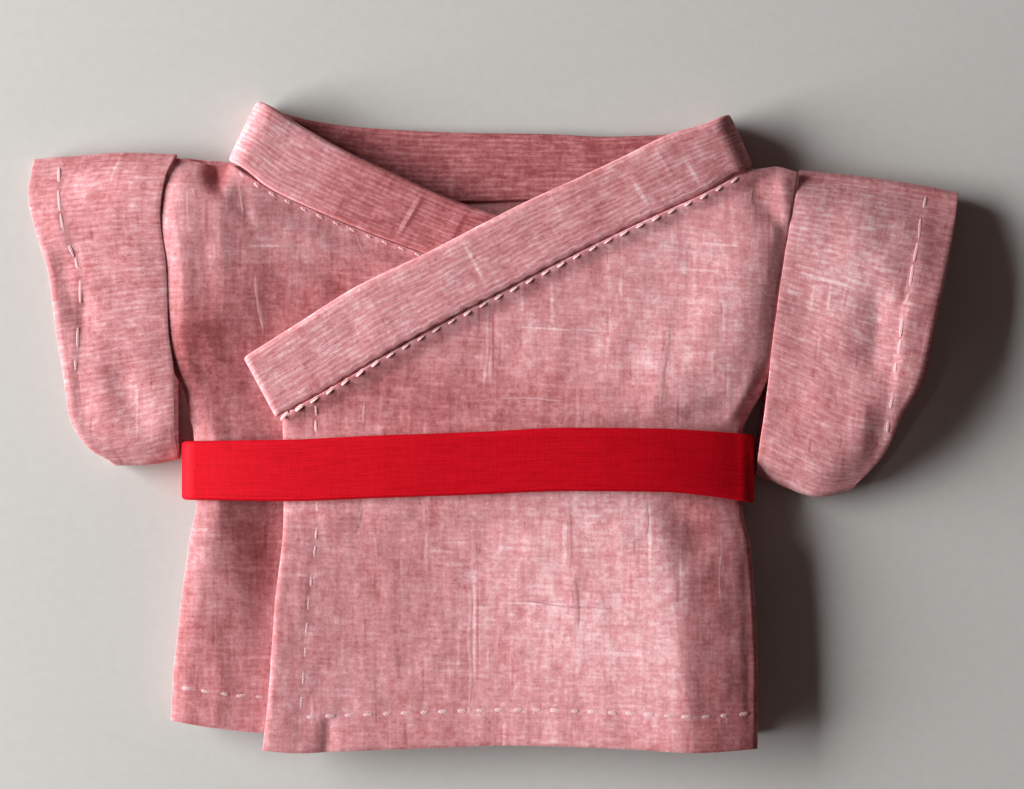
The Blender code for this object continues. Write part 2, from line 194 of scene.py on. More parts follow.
@dataclass(frozen=True)
class Fold:
    """A soft trough or ridge along a line: where it runs, how wide it reaches and how deep it is."""

    x_start: float
    y_start: float
    x_end: float
    y_end: float
    reach: float
    depth: float

    def lift(self, x: ARRAY, y: ARRAY) -> ARRAY:
        """How far the fold lifts the cloth at each point.

        Args:
            x: places across.
            y: places along.

        Returns:
            The lift at each place, below zero for a trough.
        """
        run_x = self.x_end - self.x_start
        run_y = self.y_end - self.y_start
        share = ((x - self.x_start) * run_x + (y - self.y_start) * run_y) / (run_x**2 + run_y**2)
        share = np.clip(share, 0.0, 1.0)
        away = np.hypot(x - self.x_start - share * run_x, y - self.y_start - share * run_y)
        return self.depth * np.exp(-((away / self.reach) ** 2))


@dataclass(frozen=True)
class Crease:
    """A crisper ridge or groove, whose two sides fall away at their own rates."""

    x_start: float
    y_start: float
    x_end: float
    y_end: float
    left: float
    right: float
    depth: float
    fade_start: float = 0.25
    fade_end: float = 0.25
    crest: float = 0.3

    def lift(self, x: ARRAY, y: ARRAY) -> ARRAY:
        """How far the crease lifts the cloth at each point.

        Args:
            x: places across.
            y: places along.

        Returns:
            The lift at each place, below zero for a groove.
        """
        run_x = self.x_end - self.x_start
        run_y = self.y_end - self.y_start
        length = math.hypot(run_x, run_y)
        share = ((x - self.x_start) * run_x + (y - self.y_start) * run_y) / length**2
        side = ((x - self.x_start) * run_y - (y - self.y_start) * run_x) / length
        past = (share - np.clip(share, 0.0, 1.0)) * length
        away = np.hypot(side, past)
        reach = np.where(side > 0, self.right, self.left)
        profile = np.exp(-(np.sqrt(away**2 + self.crest**2) - self.crest) / reach)
        fade = ease(share / self.fade_start) if self.fade_start else 1.0
        fade = fade * (ease((1 - share) / self.fade_end) if self.fade_end else 1.0)
        return self.depth * profile * fade


# Outlines of the body, as x at a height y
UNDER_SIDE = rows_of(
    Point, (-34.9, -35.0), (-34.5, -27.5), (-33.8, -21.0), (-33.1, -15.5), (-32.5, -11.5), (-31.9, -8.6),
    (-32.2, -1.0), (-32.8, 1.5), (-33.4, 4.0), (-34.2, 5.6), (-34.8, 8.5), (-34.9, 15.5), (-35.3, 18.8),
    (-35.7, 22.0), (-35.3, 26.5), (-34.3, 28.8),
)
OVER_SIDE = rows_of(
    Point, (28.1, -35.0), (28.1, -26.0), (27.8, -19.0), (27.3, -12.5), (26.6, -9.4), (26.5, -4.8),
    (26.6, -0.6), (27.4, 1.4), (28.5, 3.4), (29.2, 5.2), (29.8, 9.5), (30.4, 14.5), (31.1, 18.5),
    (31.8, 22.5), (32.4, 25.6), (32.8, 27.6),
)
UNDER_EDGE = rows_of(Point, (16.2, -35.0), (16.8, -4.0), (17.2, 7.6))
OVER_EDGE = rows_of(Point, (-24.9, -35.0), (-24.2, -28.5), (-23.5, -19.0), (-22.6, -10.0), (-22.7, 1.0))

# Hems and tops of the panels
UNDER_HEM = rows_of(Point, (-34.9, -31.9), (-30.7, -32.6), (-24.9, -33.2), (16.0, -33.5))
OVER_HEM = rows_of(
    Point, (-24.8, -34.9), (-21.1, -35.2), (-15.6, -35.0), (-7.4, -34.7), (2.5, -34.4), (14.9, -34.7),
    (21.8, -35.0), (28.1, -34.7),
)
BACK_HEM = rows_of(Point, (-34.9, -31.4), (-24.0, -32.8), (28.1, -34.0))
UNDER_TOP = rows_of(Point, (-34.3, 28.9), (-29.7, 28.2), (-20.0, 28.0))
OVER_TOP = rows_of(Point, (28.8, 27.6), (30.4, 27.9), (32.8, 27.3))
BACK_TOP = rows_of(
    Point, (-34.3, 28.5), (-29.3, 28.2), (-22.4, 26.0), (-17.0, 24.6), (-10.5, 23.9), (-3.0, 23.8),
    (5.0, 24.0), (13.0, 24.3), (20.4, 25.1), (26.4, 26.7), (28.3, 27.3), (32.8, 27.1),
)

# The collar band's seam and free edges, from the over end, round the neck, to the hidden end
OVER_BAND = rows_of(
    BandRow,
    (-23.4, 0.8, 4.9, -26.9, 7.3, 5.0),
    (-18.0, 3.8, 5.1, -21.5, 10.7, 5.1),
    (-11.1, 7.9, 5.3, -14.6, 15.0, 5.2),
    (-4.0, 11.8, 5.4, -7.3, 18.5, 5.3),
    (1.8, 14.8, 5.4, -1.7, 21.4, 5.3),
    (7.0, 17.5, 5.4, 3.4, 24.0, 5.2),
    (12.2, 20.1, 5.35, 8.4, 26.3, 5.1),
    (17.5, 22.6, 5.25, 13.7, 28.8, 4.9),
    (22.3, 24.8, 5.0, 18.6, 31.2, 4.7),
)
BACK_BAND = rows_of(
    BandRow,
    (20.4, 25.6, 0.6, 18.3, 31.6, 0.6),
    (13.0, 24.7, 0.6, 12.0, 31.4, 0.6),
    (5.0, 24.4, 0.6, 5.0, 31.7, 0.6),
    (-3.0, 24.2, 0.6, -3.0, 31.8, 0.6),
    (-10.5, 24.3, 0.6, -10.0, 32.1, 0.6),
    (-17.0, 25.0, 0.6, -15.5, 32.5, 0.6),
    (-22.5, 26.4, 0.6, -20.2, 33.2, 0.6),
)
UNDER_BAND = rows_of(
    BandRow,
    (-24.4, 25.6, 3.5, -20.8, 32.3, 3.3),
    (-19.4, 23.2, 3.4, -15.8, 29.5, 3.3),
    (-13.6, 20.8, 3.3, -10.2, 26.9, 3.3),
    (-8.0, 18.7, 3.3, -4.6, 24.4, 3.3),
    (-2.0, 16.4, 3.3, 1.4, 22.3, 3.3),
    (5.0, 13.2, 3.3, 8.4, 19.6, 3.3),
    (12.0, 10.2, 3.3, 15.4, 16.8, 3.3),
    (18.3, 7.4, 3.3, 21.5, 14.1, 3.3),
)
RIGHT_CREASE = BandRow(28.1, 28.0, 4.55, 25.4, 33.7, 4.5)
LEFT_CREASE = BandRow(-29.0, 28.7, 3.6, -25.7, 35.2, 3.6)

# Heights of the two fronts' upper faces
UNDER_SHAPE = rows_of(
    UnderShape,
    (-35.0, 2.95, 3.1, 2.95, 2.7, 2.6, 2.6),
    (-27.0, 3.25, 3.45, 3.25, 2.75, 2.6, 2.7),
    (-19.0, 3.6, 3.85, 3.45, 2.5, 2.6, 2.7),
    (-12.0, 3.85, 4.05, 3.5, 2.3, 2.8, 3.1),
    (-8.6, 3.9, 4.0, 3.5, 2.5, 3.1, 3.4),
    (-0.1, 3.6, 4.0, 3.7, 3.4, 3.4, 3.5),
    (3.0, 3.7, 4.1, 3.8, 3.4, 3.3, 3.5),
    (6.0, 4.2, 4.55, 4.1, 3.6, 3.3, 3.5),
    (12.0, 4.6, 4.95, 4.4, 3.8, 3.35, 3.5),
    (20.0, 4.65, 5.0, 4.5, 4.0, 3.4, 3.5),
    (25.0, 4.4, 4.7, 4.4, 4.0, 3.5, 3.5),
    (27.2, 3.4, 3.6, 3.6, 3.6, 3.6, 3.6),
    (28.4, 2.4, 2.4, 2.6, 3.0, 3.6, 3.6),
)
UNDER_STATIONS = (-27.7, -22.9, -12.0, 18.0)
UNDER_RIDGE_WIDTH = 1.8
OVER_SHAPE = rows_of(
    OverShape,
    (-35.0, 4.6, 4.2, 4.1, 5.05, 5.7, 5.1, 4.65, 20.6),
    (-22.0, 5.0, 4.5, 4.35, 5.4, 5.95, 5.15, 4.7, 19.8),
    (-16.0, 5.2, 4.75, 4.55, 5.45, 5.95, 5.15, 4.7, 18.4),
    (-11.0, 5.2, 4.95, 4.85, 5.6, 5.95, 5.05, 4.6, 16.2),
    (-8.6, 4.9, 5.2, 5.4, 5.5, 5.4, 4.7, 4.2, 15.4),
    (-0.1, 4.9, 5.2, 5.4, 5.5, 5.4, 4.9, 4.0, 16.5),
    (3.0, 5.2, 5.2, 5.2, 5.6, 5.9, 5.5, 4.3, 18.5),
    (8.0, 5.4, 5.2, 5.05, 5.6, 6.0, 5.75, 5.3, 24.0),
    (14.0, 5.5, 5.35, 5.15, 5.5, 6.0, 5.85, 5.4, 26.6),
    (20.0, 5.6, 5.5, 5.3, 5.45, 5.9, 5.75, 5.3, 27.2),
    (23.0, 5.4, 5.35, 5.2, 5.3, 5.6, 5.35, 5.1, 26.0),
    (25.0, 5.0, 5.0, 5.0, 5.0, 5.05, 4.8, 4.6, 24.0),
    (27.0, 4.2, 4.2, 4.2, 4.2, 4.2, 3.9, 3.5, 22.0),
    (28.4, 2.4, 2.4, 2.4, 2.4, 2.4, 2.4, 2.4, 20.0),
)
OVER_STATIONS = (-24.0, -14.0, -4.0)
RISE_WIDTH = 7.0
TURN_WIDTH = 2.0
BELT_TOPS = rows_of(
    BeltTop, (-32.7, 4.32), (-28.4, 4.97), (-24.1, 5.46), (-19.8, 5.78), (-15.5, 6.0), (-11.2, 6.15),
    (-6.9, 6.2), (1.7, 6.2), (6.0, 6.16), (10.3, 6.07), (14.6, 5.86), (18.9, 5.48), (23.2, 4.88), (26.9, 4.1),
)
BELT_PLY = 0.7
BELT_OUT = 0.15
BELT_CLEARANCE = 0.03
BELT_HOLD_START = 0.1
BELT_HOLD_RUN = 1.5

# The belt's middle line and width, left to right
BELT_ROWS = rows_of(
    BeltRow, (-33.8, -4.85, 6.3), (-22.5, -4.8, 6.6), (-12.8, -4.4, 6.7), (-1.6, -4.0, 6.7), (8.0, -3.6, 6.8),
    (17.7, -3.7, 6.8), (23.2, -4.1, 7.0), (28.1, -4.7, 7.4),
)

# How the back arches over the belt and rises at its sides
BACK_INSET = 0.5
BACK_LIFT = 0.02
BACK_ARCH = 1.3
ARCH_HALF_WIDTH = 4.4
ARCH_RUN = 3.2
BACK_SIDE = 1.0
BACK_SIDE_RUN = 2.4

# Folds and creases of the fronts, each placed on the garment
UNDER_CREASES = (
    Fold(-31.5, 18.5, -31.0, 5.5, 1.8, -0.16),
    Crease(-29.3, 24.7, -30.7, 28.8, 0.5, 0.8, -1.5, fade_start=0.8, fade_end=0.0, crest=0.25),
    Crease(-29.2, 16.0, -29.4, 25.0, 2.6, 0.9, 0.12),
    Crease(-27.7, 22.4, -27.5, 26.3, 0.35, 0.35, -0.13),
    Crease(-26.5, 21.4, -26.7, 26.0, 0.35, 0.35, -0.13),
    Crease(-30.0, 5.0, -31.4, 13.0, 1.5, 1.2, 0.12),
    Crease(-27.8, 1.5, -24.6, 7.5, 1.6, 1.2, -0.14),
    Crease(-28.3, -21.0, -28.0, -9.0, 1.3, 1.0, 0.06),
    Crease(-30.0, -33.0, -29.2, -24.5, 1.4, 1.0, 0.08),
    Crease(-20.6, 10.6, -18.0, 16.4, 1.4, 0.9, 0.1),
)
OVER_CREASES = (
    Crease(21.3, -35.0, 17.8, -9.2, 2.4, 1.8, 0.1, fade_start=0.0),
    Crease(28.2, 23.3, 27.9, 26.7, 0.4, 0.5, -0.14),
    Fold(30.9, 25.6, 31.5, 22.6, 1.0, 0.22),
    Crease(31.9, 19.9, 27.9, 24.6, 0.5, 0.9, -0.16, crest=0.4),
    Crease(29.6, 4.0, 31.3, 20.6, 1.0, 0.4, -0.14, fade_end=0.12),
    Fold(21.6, 1.2, 25.6, 2.4, 1.3, -0.2),
    Fold(19.6, -8.0, 21.6, -12.4, 1.9, -0.24),
    Crease(27.4, -34.2, 26.9, -12.0, 0.35, 0.35, -0.12),
    Crease(16.6, -0.4, 18.6, 12.2, 0.55, 0.5, 0.08),
    Crease(-17.8, -31.0, -18.1, -35.0, 0.8, 0.5, -0.26, fade_end=0.0),
    Crease(-8.4, -10.6, -8.0, -7.4, 0.9, 0.7, -0.12, fade_end=0.0),
    Crease(-14.4, -11.6, -14.0, -7.6, 0.6, 0.5, -0.1, fade_end=0.0),
    Crease(8.8, -23.0, 8.3, -14.8, 0.6, 0.5, 0.06),
    Crease(2.8, -20.0, 3.6, -9.0, 1.6, 1.2, 0.06),
    Crease(-11.0, -28.0, -12.0, -12.0, 1.8, 1.5, 0.06),
    Crease(5.5, 2.0, 8.0, 12.0, 1.8, 1.2, 0.06),
    Crease(-6.0, 1.5, -3.8, 8.6, 1.3, 1.0, 0.06),
    Crease(22.5, 8.0, 24.2, 17.5, 1.8, 1.2, 0.08),
    Crease(25.0, -30.0, 24.5, -16.0, 1.2, 1.0, 0.07),
)


def curve(places: ARRAY, values: ARRAY, at: ARRAY) -> ARRAY:
    """Values on smooth curves that keep between their neighbours and are flat beyond their ends.

    Args:
        places: rising places of the known values, one row for all or one row for each wanted place.
        values: the known values, in the same shape.
        at: the wanted places.

    Returns:
        The value at each wanted place.
    """
    at = np.atleast_1d(np.asarray(at, float))
    places = np.broadcast_to(np.asarray(places, float), (len(at), np.shape(places)[-1]))
    values = np.broadcast_to(np.asarray(values, float), places.shape)
    spans = np.diff(places, axis=1)
    rises = np.diff(values, axis=1) / spans
    before, after = rises[:, :-1], rises[:, 1:]
    same_way = before * after > 0
    total = np.where(same_way, before + after, 1.0)
    middle = np.where(same_way, 2 * before * after / total, 0.0)
    slopes = np.concatenate([rises[:, :1], middle, rises[:, -1:]], axis=1)
    at = np.clip(at, places[:, 0], places[:, -1])
    step = (at[:, None] > places[:, 1:-1]).sum(axis=1)[:, None]

    def pick(table: ARRAY, shift: int = 0) -> ARRAY:
        """The column of each row at its own step."""
        return np.take_along_axis(table, step + shift, axis=1)[:, 0]

    span = pick(spans)
    share = (at - pick(places)) / span
    turn = share * share * (3 - 2 * share)
    pull = share * (1 - share)
    return (
        pick(values) + turn * (pick(values, 1) - pick(values))
        + pull * ((1 - share) * pick(slopes) - share * pick(slopes, 1)) * span
    )


def column(rows: Sequence[NamedTuple], place: str, value: str, at: ARRAY) -> ARRAY:
    """One named column of a table, read along another.

    Args:
        rows: the table.
        place: the column that says where each row is.
        value: the column to read.
        at: the wanted places.

    Returns:
        The value at each wanted place.
    """
    ordered = sorted(rows, key=lambda row: getattr(row, place))
    places = np.array([getattr(row, place) for row in ordered])
    values = np.array([getattr(row, value) for row in ordered])
    return curve(places, values, at)


def x_on(points: Sequence[Point], y: ARRAY) -> ARRAY:
    """Place across of an outline at heights y."""
    return column(points, "y", "x", y)


def summed(steps: ARRAY) -> ARRAY:
    """Distances from the start, from the lengths of the steps."""
    return np.concatenate([[0.0], np.cumsum(steps)])


def distances(points: ARRAY) -> ARRAY:
    """How far along a line each of its points is."""
    return summed(np.linalg.norm(np.diff(points, axis=0), axis=1))


def along(points: Sequence[Point], share: ARRAY) -> tuple[ARRAY, ARRAY]:
    """Points at shares of the length of a line.

    Args:
        points: the line's points.
        share: the wanted shares of its length.

    Returns:
        The places x and y.
    """
    line = np.array(points)
    lengths = distances(line)
    at = share * lengths[-1]
    return curve(lengths, line[:, 0], at), curve(lengths, line[:, 1], at)


def ease(share: ARRAY) -> ARRAY:
    """A share from 0 to 1 with a soft start and end."""
    share = np.clip(share, 0.0, 1.0)
    return share * share * (3 - 2 * share)


def roll_down(inward: ARRAY, reach: float = ROLL_REACH) -> ARRAY:
    """How much of its roll the cloth has at distances in from an edge, from 1 down to 0."""
    return (1 - ease(inward / reach)) ** 2


def ply_rise(
    depth: ARRAY, hem: ARRAY | float, rise: float = HEM_RISE, held: float = 0.07, roll: float = 0.16,
) -> ARRAY:
    """How far a turned-under hem lifts the cloth.

    Args:
        depth: distance in from the folded edge.
        hem: the hem's depth, where its stitches hold it down.
        rise: the lift between the edge and the stitches.
        held: how far the stitches pull the cloth down.
        roll: how far the cloth rolls down at the folded edge.

    Returns:
        The lift at each distance.
    """
    lifted = rise * (1 - ease((depth - hem + PLY_EARLY) / PLY_FALL))
    held_down = held * np.exp(-(((depth - hem) / HELD_REACH) ** 2))
    return lifted - roll * roll_down(depth, HEM_ROLL_REACH) - held_down


@dataclass(frozen=True)
class Rumple:
    """The slight unevenness of soft cloth: a sum of gentle waves in all directions."""

    height: float
    shortest: float
    longest: float
    seed: int
    waves: int = 26

    def lift(self, x: ARRAY, y: ARRAY) -> ARRAY:
        """How far the cloth is lifted at each point.

        Args:
            x: places across.
            y: places along.

        Returns:
            The lift at each place, above and below zero.
        """
        chance = np.random.default_rng(self.seed)
        total = np.zeros(np.shape(x))
        for _ in range(self.waves):
            length = self.shortest * (self.longest / self.shortest) ** chance.random()
            angle = chance.random() * math.tau
            start = chance.random() * math.tau
            total += np.sin((x * math.cos(angle) + y * math.sin(angle)) * math.tau / length + start)
        return self.height * total / math.sqrt(self.waves / 2)


class Nodes:
    """A short way to write a material's or a group's node tree."""

    def __init__(self, tree: bpy.types.NodeTree) -> None:
        """Starts on a tree.

        Args:
            tree: the node tree to build in.
        """
        self.tree = tree

    def add(self, kind: str, settings: dict | None = None, inputs: dict | None = None) -> bpy.types.Node:
        """Adds a node.

        Args:
            kind: the node's type name.
            settings: its properties by name.
            inputs: its sockets by name or number, each a value or a socket to link from.

        Returns:
            The node.
        """
        node = self.tree.nodes.new(kind)
        for name, value in (settings or {}).items():
            setattr(node, name, value)
        return self.fill(node, inputs or {})

    def fill(self, node: bpy.types.Node, inputs: dict) -> bpy.types.Node:
        """Sets a node's inputs by name or number, each to a value or from a socket to link from."""
        for name, value in inputs.items():
            self.join(value, node.inputs[name])
        return node

    def join(self, value: object, socket: bpy.types.NodeSocket) -> None:
        """Sets a socket to a value, or links it from another socket."""
        if isinstance(value, bpy.types.NodeSocket):
            self.tree.links.new(value, socket)
        else:
            socket.default_value = value

    def math(self, operation: str, *values: object) -> bpy.types.NodeSocket:
        """A Math node's result, from its inputs in order."""
        return self.add("ShaderNodeMath", {"operation": operation}, dict(enumerate(values))).outputs[0]

    def plus(self, *values: object) -> bpy.types.NodeSocket:
        """The sum of some values."""
        return reduce(lambda total, value: self.math("ADD", total, value), values)

    def times(self, *values: object) -> bpy.types.NodeSocket:
        """The product of some values."""
        return reduce(lambda total, value: self.math("MULTIPLY", total, value), values)

    def minus(self, value: object, less: object) -> bpy.types.NodeSocket:
        """A value less another."""
        return self.math("SUBTRACT", value, less)

    def over(self, value: object, size: object) -> bpy.types.NodeSocket:
        """A value divided by another."""
        return self.math("DIVIDE", value, size)

    def split(self, place: object) -> tuple[bpy.types.NodeSocket, bpy.types.NodeSocket]:
        """The first two values of a vector."""
        node = self.add("ShaderNodeSeparateXYZ", None, {"Vector": place})
        return node.outputs["X"], node.outputs["Y"]

    def vector(self, x: object, y: object, z: object = 0.0) -> bpy.types.NodeSocket:
        """A vector from three values."""
        return self.add("ShaderNodeCombineXYZ", None, {"X": x, "Y": y, "Z": z}).outputs[0]

    def noise(self, place: object, detail: float = 2.0, roughness: float = 0.5) -> bpy.types.NodeSocket:
        """Smooth noise from 0 to 1 at a place whose units are the noise's own size."""
        node = self.add(
            "ShaderNodeTexNoise", {"noise_dimensions": "3D"},
            {"Vector": place, "Scale": 1.0, "Detail": detail, "Roughness": roughness},
        )
        return node.outputs["Fac"]

    def remap(
        self, value: object, low: object, high: object, to_low: float = 0.0, to_high: float = 1.0,
    ) -> bpy.types.NodeSocket:
        """A value moved softly from one range to another, and kept inside it.

        Args:
            value: the value.
            low: where the first range starts.
            high: where the first range ends.
            to_low: where the second range starts.
            to_high: where the second range ends.

        Returns:
            The moved value.
        """
        node = self.add(
            "ShaderNodeMapRange", {"interpolation_type": "SMOOTHSTEP"},
            {"Value": value, "From Min": low, "From Max": high, "To Min": to_low, "To Max": to_high},
        )
        return node.outputs[0]

    def mix(self, share: object, first: object, second: object) -> bpy.types.NodeSocket:
        """Two colours mixed by a share."""
        return self.add("ShaderNodeMix", {"data_type": "RGBA"}, {0: share, 6: first, 7: second}).outputs[2]

    def ramp(self, value: object, tints: Sequence[tuple]) -> bpy.types.NodeSocket:
        """A colour read from places and colours in rising order."""
        node = self.add("ShaderNodeValToRGB", None, {"Fac": value})
        stops = node.color_ramp.elements
        stops[0].position, stops[0].color = tints[0]
        stops[1].position, stops[1].color = tints[-1]
        for place, tint in tints[1:-1]:
            stops.new(place).color = tint
        return node.outputs[0]

    def group(self, tree: bpy.types.NodeTree, inputs: dict) -> bpy.types.Node:
        """A node that holds a group, with its inputs set."""
        return self.add("ShaderNodeGroup", {"node_tree": tree}, inputs)


def colour(red: int, green: int, blue: int) -> tuple[float, float, float, float]:
    """A screen colour as the linear values that a shader takes.

    Args:
        red: red from 0 to 255.
        green: green from 0 to 255.
        blue: blue from 0 to 255.

    Returns:
        Linear red, green, blue and full alpha.
    """
    shares = [value / 255 for value in (red, green, blue)]
    linear = [s / 12.92 if s <= 0.04045 else ((s + 0.055) / 1.055) ** 2.4 for s in shares]
    return (*linear, 1.0)


def new_group(
    name: str, inputs: dict[str, float | None], outputs: Sequence[str],
) -> tuple[Nodes, dict, bpy.types.Node]:
    """Starts a shader node group, whose outputs are numbers.

    Args:
        name: the group's name.
        inputs: each input's name and default number, or None for a vector.
        outputs: the names of its outputs.

    Returns:
        The node writer, the input sockets by name, and the group's output node.
    """
    tree = bpy.data.node_groups.new(name, "ShaderNodeTree")
    for label, value in inputs.items():
        kind = "NodeSocketVector" if value is None else "NodeSocketFloat"
        socket = tree.interface.new_socket(name=label, in_out="INPUT", socket_type=kind)
        if value is not None:
            socket.default_value = value
    for label in outputs:
        tree.interface.new_socket(name=label, in_out="OUTPUT", socket_type="NodeSocketFloat")
    source = tree.nodes.new("NodeGroupInput")
    result = tree.nodes.new("NodeGroupOutput")
    return Nodes(tree), {s.name: s for s in source.outputs if s.name}, result


class Patch(NamedTuple):
    """Soft patches of tone: their size across and up, their seed, strength, height and fineness."""

    across: float
    up: float
    seed: float
    amount: float
    relief: float = 0.0
    detail: float = 2.0


# How yarns vary: how often they sway along and across, and the steps of the noise from one yarn to the next
SWAY_ALONG = 0.12
SWAY_ACROSS = 0.9
TONE_STEP = 1.37
SLUB_STEP = 2.71
SLUB_SEED_SHIFT = 40.0
SLUB_TURN = 0.07

# Tones of the cloth: streaks along the warp, patches from flecks to broad clouds, and dark specks
STREAKS = rows_of(Patch, (0.85, 6.0, 31.0, 0.36, 0.02), (2.2, 12.0, 37.0, 0.32), (0.5, 2.4, 67.0, 0.32))
PATCHES = rows_of(
    Patch, (5.0, 0.8, 23.0, 0.2), (0.6, 0.5, 43.0, 0.44, 0.02), (1.5, 1.3, 53.0, 0.42), (3.8, 3.2, 5.0, 0.3),
    (22.0, 20.0, 9.0, 0.2, 0.0, 1.0), (0.3, 0.3, 2.0, 0.3, 0.006),
)
SPECKS = Patch(0.34, 0.26, 151.0, -0.13, 0.0, 1.0)


@dataclass(frozen=True)
class Weave:
    """The node groups of woven cloth, built once and used by every cloth finish.

    Strengths are shares of the whole range of shade, and heights are in millimetres.
    """

    yarns: bpy.types.NodeTree
    cloth: bpy.types.NodeTree

    @classmethod
    def make(cls) -> "Weave":
        """Builds the groups."""
        yarns = cls._yarns()
        return cls(yarns, cls._cloth(yarns))

    @staticmethod
    def _yarns() -> bpy.types.NodeTree:
        """One set of parallel yarns, unevenly spaced, each with its own tone along its length.

        Returns:
            The group, whose outputs are the yarns' roundness, tone and thick places.
        """
        n, given, result = new_group(
            "yarns",
            {"Along": 0.0, "Across": 0.0, "Pitch": 0.5, "Wander": 0.5, "Streak": 6.0, "Slub Length": 14.0,
             "Slub From": 0.74, "Seed": 0.0},
            ("Ridge", "Tone", "Slub"),
        )
        along_it, across, seed = given["Along"], given["Across"], given["Seed"]
        place = n.vector(n.times(along_it, SWAY_ALONG), n.times(across, SWAY_ACROSS), seed)
        sway = n.times(n.minus(n.noise(place, 1.0), 0.5), given["Wander"])
        rows = n.over(n.plus(across, sway), given["Pitch"])
        row = n.math("FLOOR", rows)
        share = n.math("FRACT", rows)
        ridge = n.remap(n.times(share, n.minus(1.0, share), 4.0), 0.0, 1.0)
        tone = n.noise(n.vector(n.over(along_it, given["Streak"]), n.times(row, TONE_STEP), seed), 3.0, 0.6)
        step = n.times(row, SLUB_STEP)
        spot = n.vector(n.over(along_it, given["Slub Length"]), step, n.plus(seed, SLUB_SEED_SHIFT))
        slub = n.remap(n.noise(spot, 0.0), given["Slub From"], n.plus(given["Slub From"], SLUB_TURN))
        n.fill(result, {"Ridge": ridge, "Tone": tone, "Slub": n.times(slub, n.math("POWER", ridge, 0.6))})
        return n.tree

    @staticmethod
    def _cloth(yarns: bpy.types.NodeTree) -> bpy.types.NodeTree:
        """Slub cloth: broken weft ribs over a warp, thick yarns both ways, soft patches of tone, and painted
        shade in the grooves between the ribs.

        Args:
            yarns: the group of parallel yarns.

        Returns:
            The group, whose outputs are a shade from 0, deep, to 1, pale, and a height in millimetres.
        """
        n, given, result = new_group(
            "slub_weave",
            {"Place": None, "Weft Pitch": 0.6, "Dash": 1.7, "Sway": 0.3, "Ribs": 1.0, "Streaks": 1.0,
             "Slubs": 1.0, "Tone": 0.0},
            ("Shade", "Height"),
        )
        u, v = n.split(given["Place"])

        def noise(
            across: object, up: object, seed: float, detail: float = 1.0, fine: float = 0.5,
        ) -> bpy.types.NodeSocket:
            """Smooth noise whose patches have a size across and up in millimetres."""
            return n.noise(n.vector(n.over(u, across), n.over(v, up), seed), detail, fine)

        def patch(row: Patch) -> bpy.types.NodeSocket:
            """The noise of one kind of patch."""
            return noise(row.across, row.up, row.seed, row.detail, 0.6)

        def swing(value: bpy.types.NodeSocket, *amounts: object) -> bpy.types.NodeSocket:
            """A value's distance from its middle, times some amounts."""
            return n.times(n.minus(value, 0.5), *amounts)

        def thick(
            along_it: object, across: object, pitch: float, length: float, seed: float,
        ) -> bpy.types.NodeSocket:
            """The thick places in one set of yarns."""
            set_up = {"Pitch": pitch, "Wander": 0.5, "Slub Length": length, "Slub From": 0.72, "Seed": seed}
            return n.group(yarns, {"Along": along_it, "Across": across, **set_up}).outputs["Slub"]

        wobble = n.times(noise(1.5, 0.9, 71.0), given["Sway"])
        weft_set = {"Pitch": given["Weft Pitch"], "Wander": 0.45, "Streak": 3.5, "Seed": 3.0}
        weft = n.group(yarns, {"Along": u, "Across": n.plus(v, wobble), **weft_set})
        warp_set = {"Pitch": 0.42, "Wander": 0.3, "Streak": 1.2, "Seed": 17.0}
        warp = n.group(yarns, {"Along": v, "Across": u, **warp_set})
        weft_slub = thick(u, v, 0.46, 9.0, 61.0)
        warp_slub = thick(v, u, 0.46, 9.0, 83.0)
        dark_slub = thick(v, u, 0.36, 5.0, 131.0)
        dash = noise(given["Dash"], 0.42, 97.0)
        rib = n.times(weft.outputs["Ridge"], n.remap(dash, 0.36, 0.6, 0.15, 1.0))
        tones = [
            0.5,
            # The piece's washes: its own tone, and painted light and shade.
            given["Tone"],
            swing(weft.outputs["Tone"], 0.12),
            swing(warp.outputs["Tone"], 0.1),
            swing(dash, given["Ribs"], 0.2),
            n.remap(patch(SPECKS), 0.6, 0.72, 0.0, SPECKS.amount),
            n.times(n.plus(n.times(weft_slub, 0.12), n.times(warp_slub, 0.14)), given["Slubs"]),
            n.times(dark_slub, -0.14, given["Slubs"]),
            # Painted shade: the grooves between the weft ribs are deeper and their crests paler.
            n.times(n.minus(rib, 0.33), given["Ribs"], 0.2),
        ]
        heights = [
            n.times(rib, given["Ribs"], 0.017),
            n.times(weft.outputs["Ridge"], warp.outputs["Ridge"], 0.002),
            n.times(weft_slub, 0.005),
            n.times(warp_slub, 0.008),
        ]
        for rows, strength in ((STREAKS, [given["Streaks"]]), (PATCHES, [])):
            for row in rows:
                spread = patch(row)
                tones.append(swing(spread, *strength, row.amount))
                if row.relief:
                    heights.append(n.times(spread, row.relief))
        shade = n.math("MAXIMUM", n.math("MINIMUM", n.plus(*tones), 1.0), 0.0)
        n.fill(result, {"Shade": shade, "Height": n.plus(*heights)})
        return n.tree


def start_material(name: str) -> tuple[bpy.types.Material, Nodes, bpy.types.Node]:
    """A new material with its writer and its main shader node.

    Args:
        name: the material's name.

    Returns:
        The material, the node writer and the Principled node.
    """
    material = bpy.data.materials.new(name)
    material.use_nodes = True
    return material, Nodes(material.node_tree), material.node_tree.nodes["Principled BSDF"]


def cloth_place(n: Nodes) -> bpy.types.NodeSocket:
    """Places on the flat cloth in millimetres, from the piece's own map."""
    source = n.add("ShaderNodeUVMap", {"uv_map": "cloth"}).outputs[0]
    inputs = {0: source, "Scale": 1 / UV_PER_MM}
    return n.add("ShaderNodeVectorMath", {"operation": "SCALE"}, inputs).outputs[0]


def relief_of(n: Nodes, height: bpy.types.NodeSocket) -> bpy.types.NodeSocket:
    """A surface relief, as normals, from a height in millimetres."""
    return n.add("ShaderNodeBump", None, {"Strength": 1.0, "Distance": MM, "Height": height}).outputs[0]


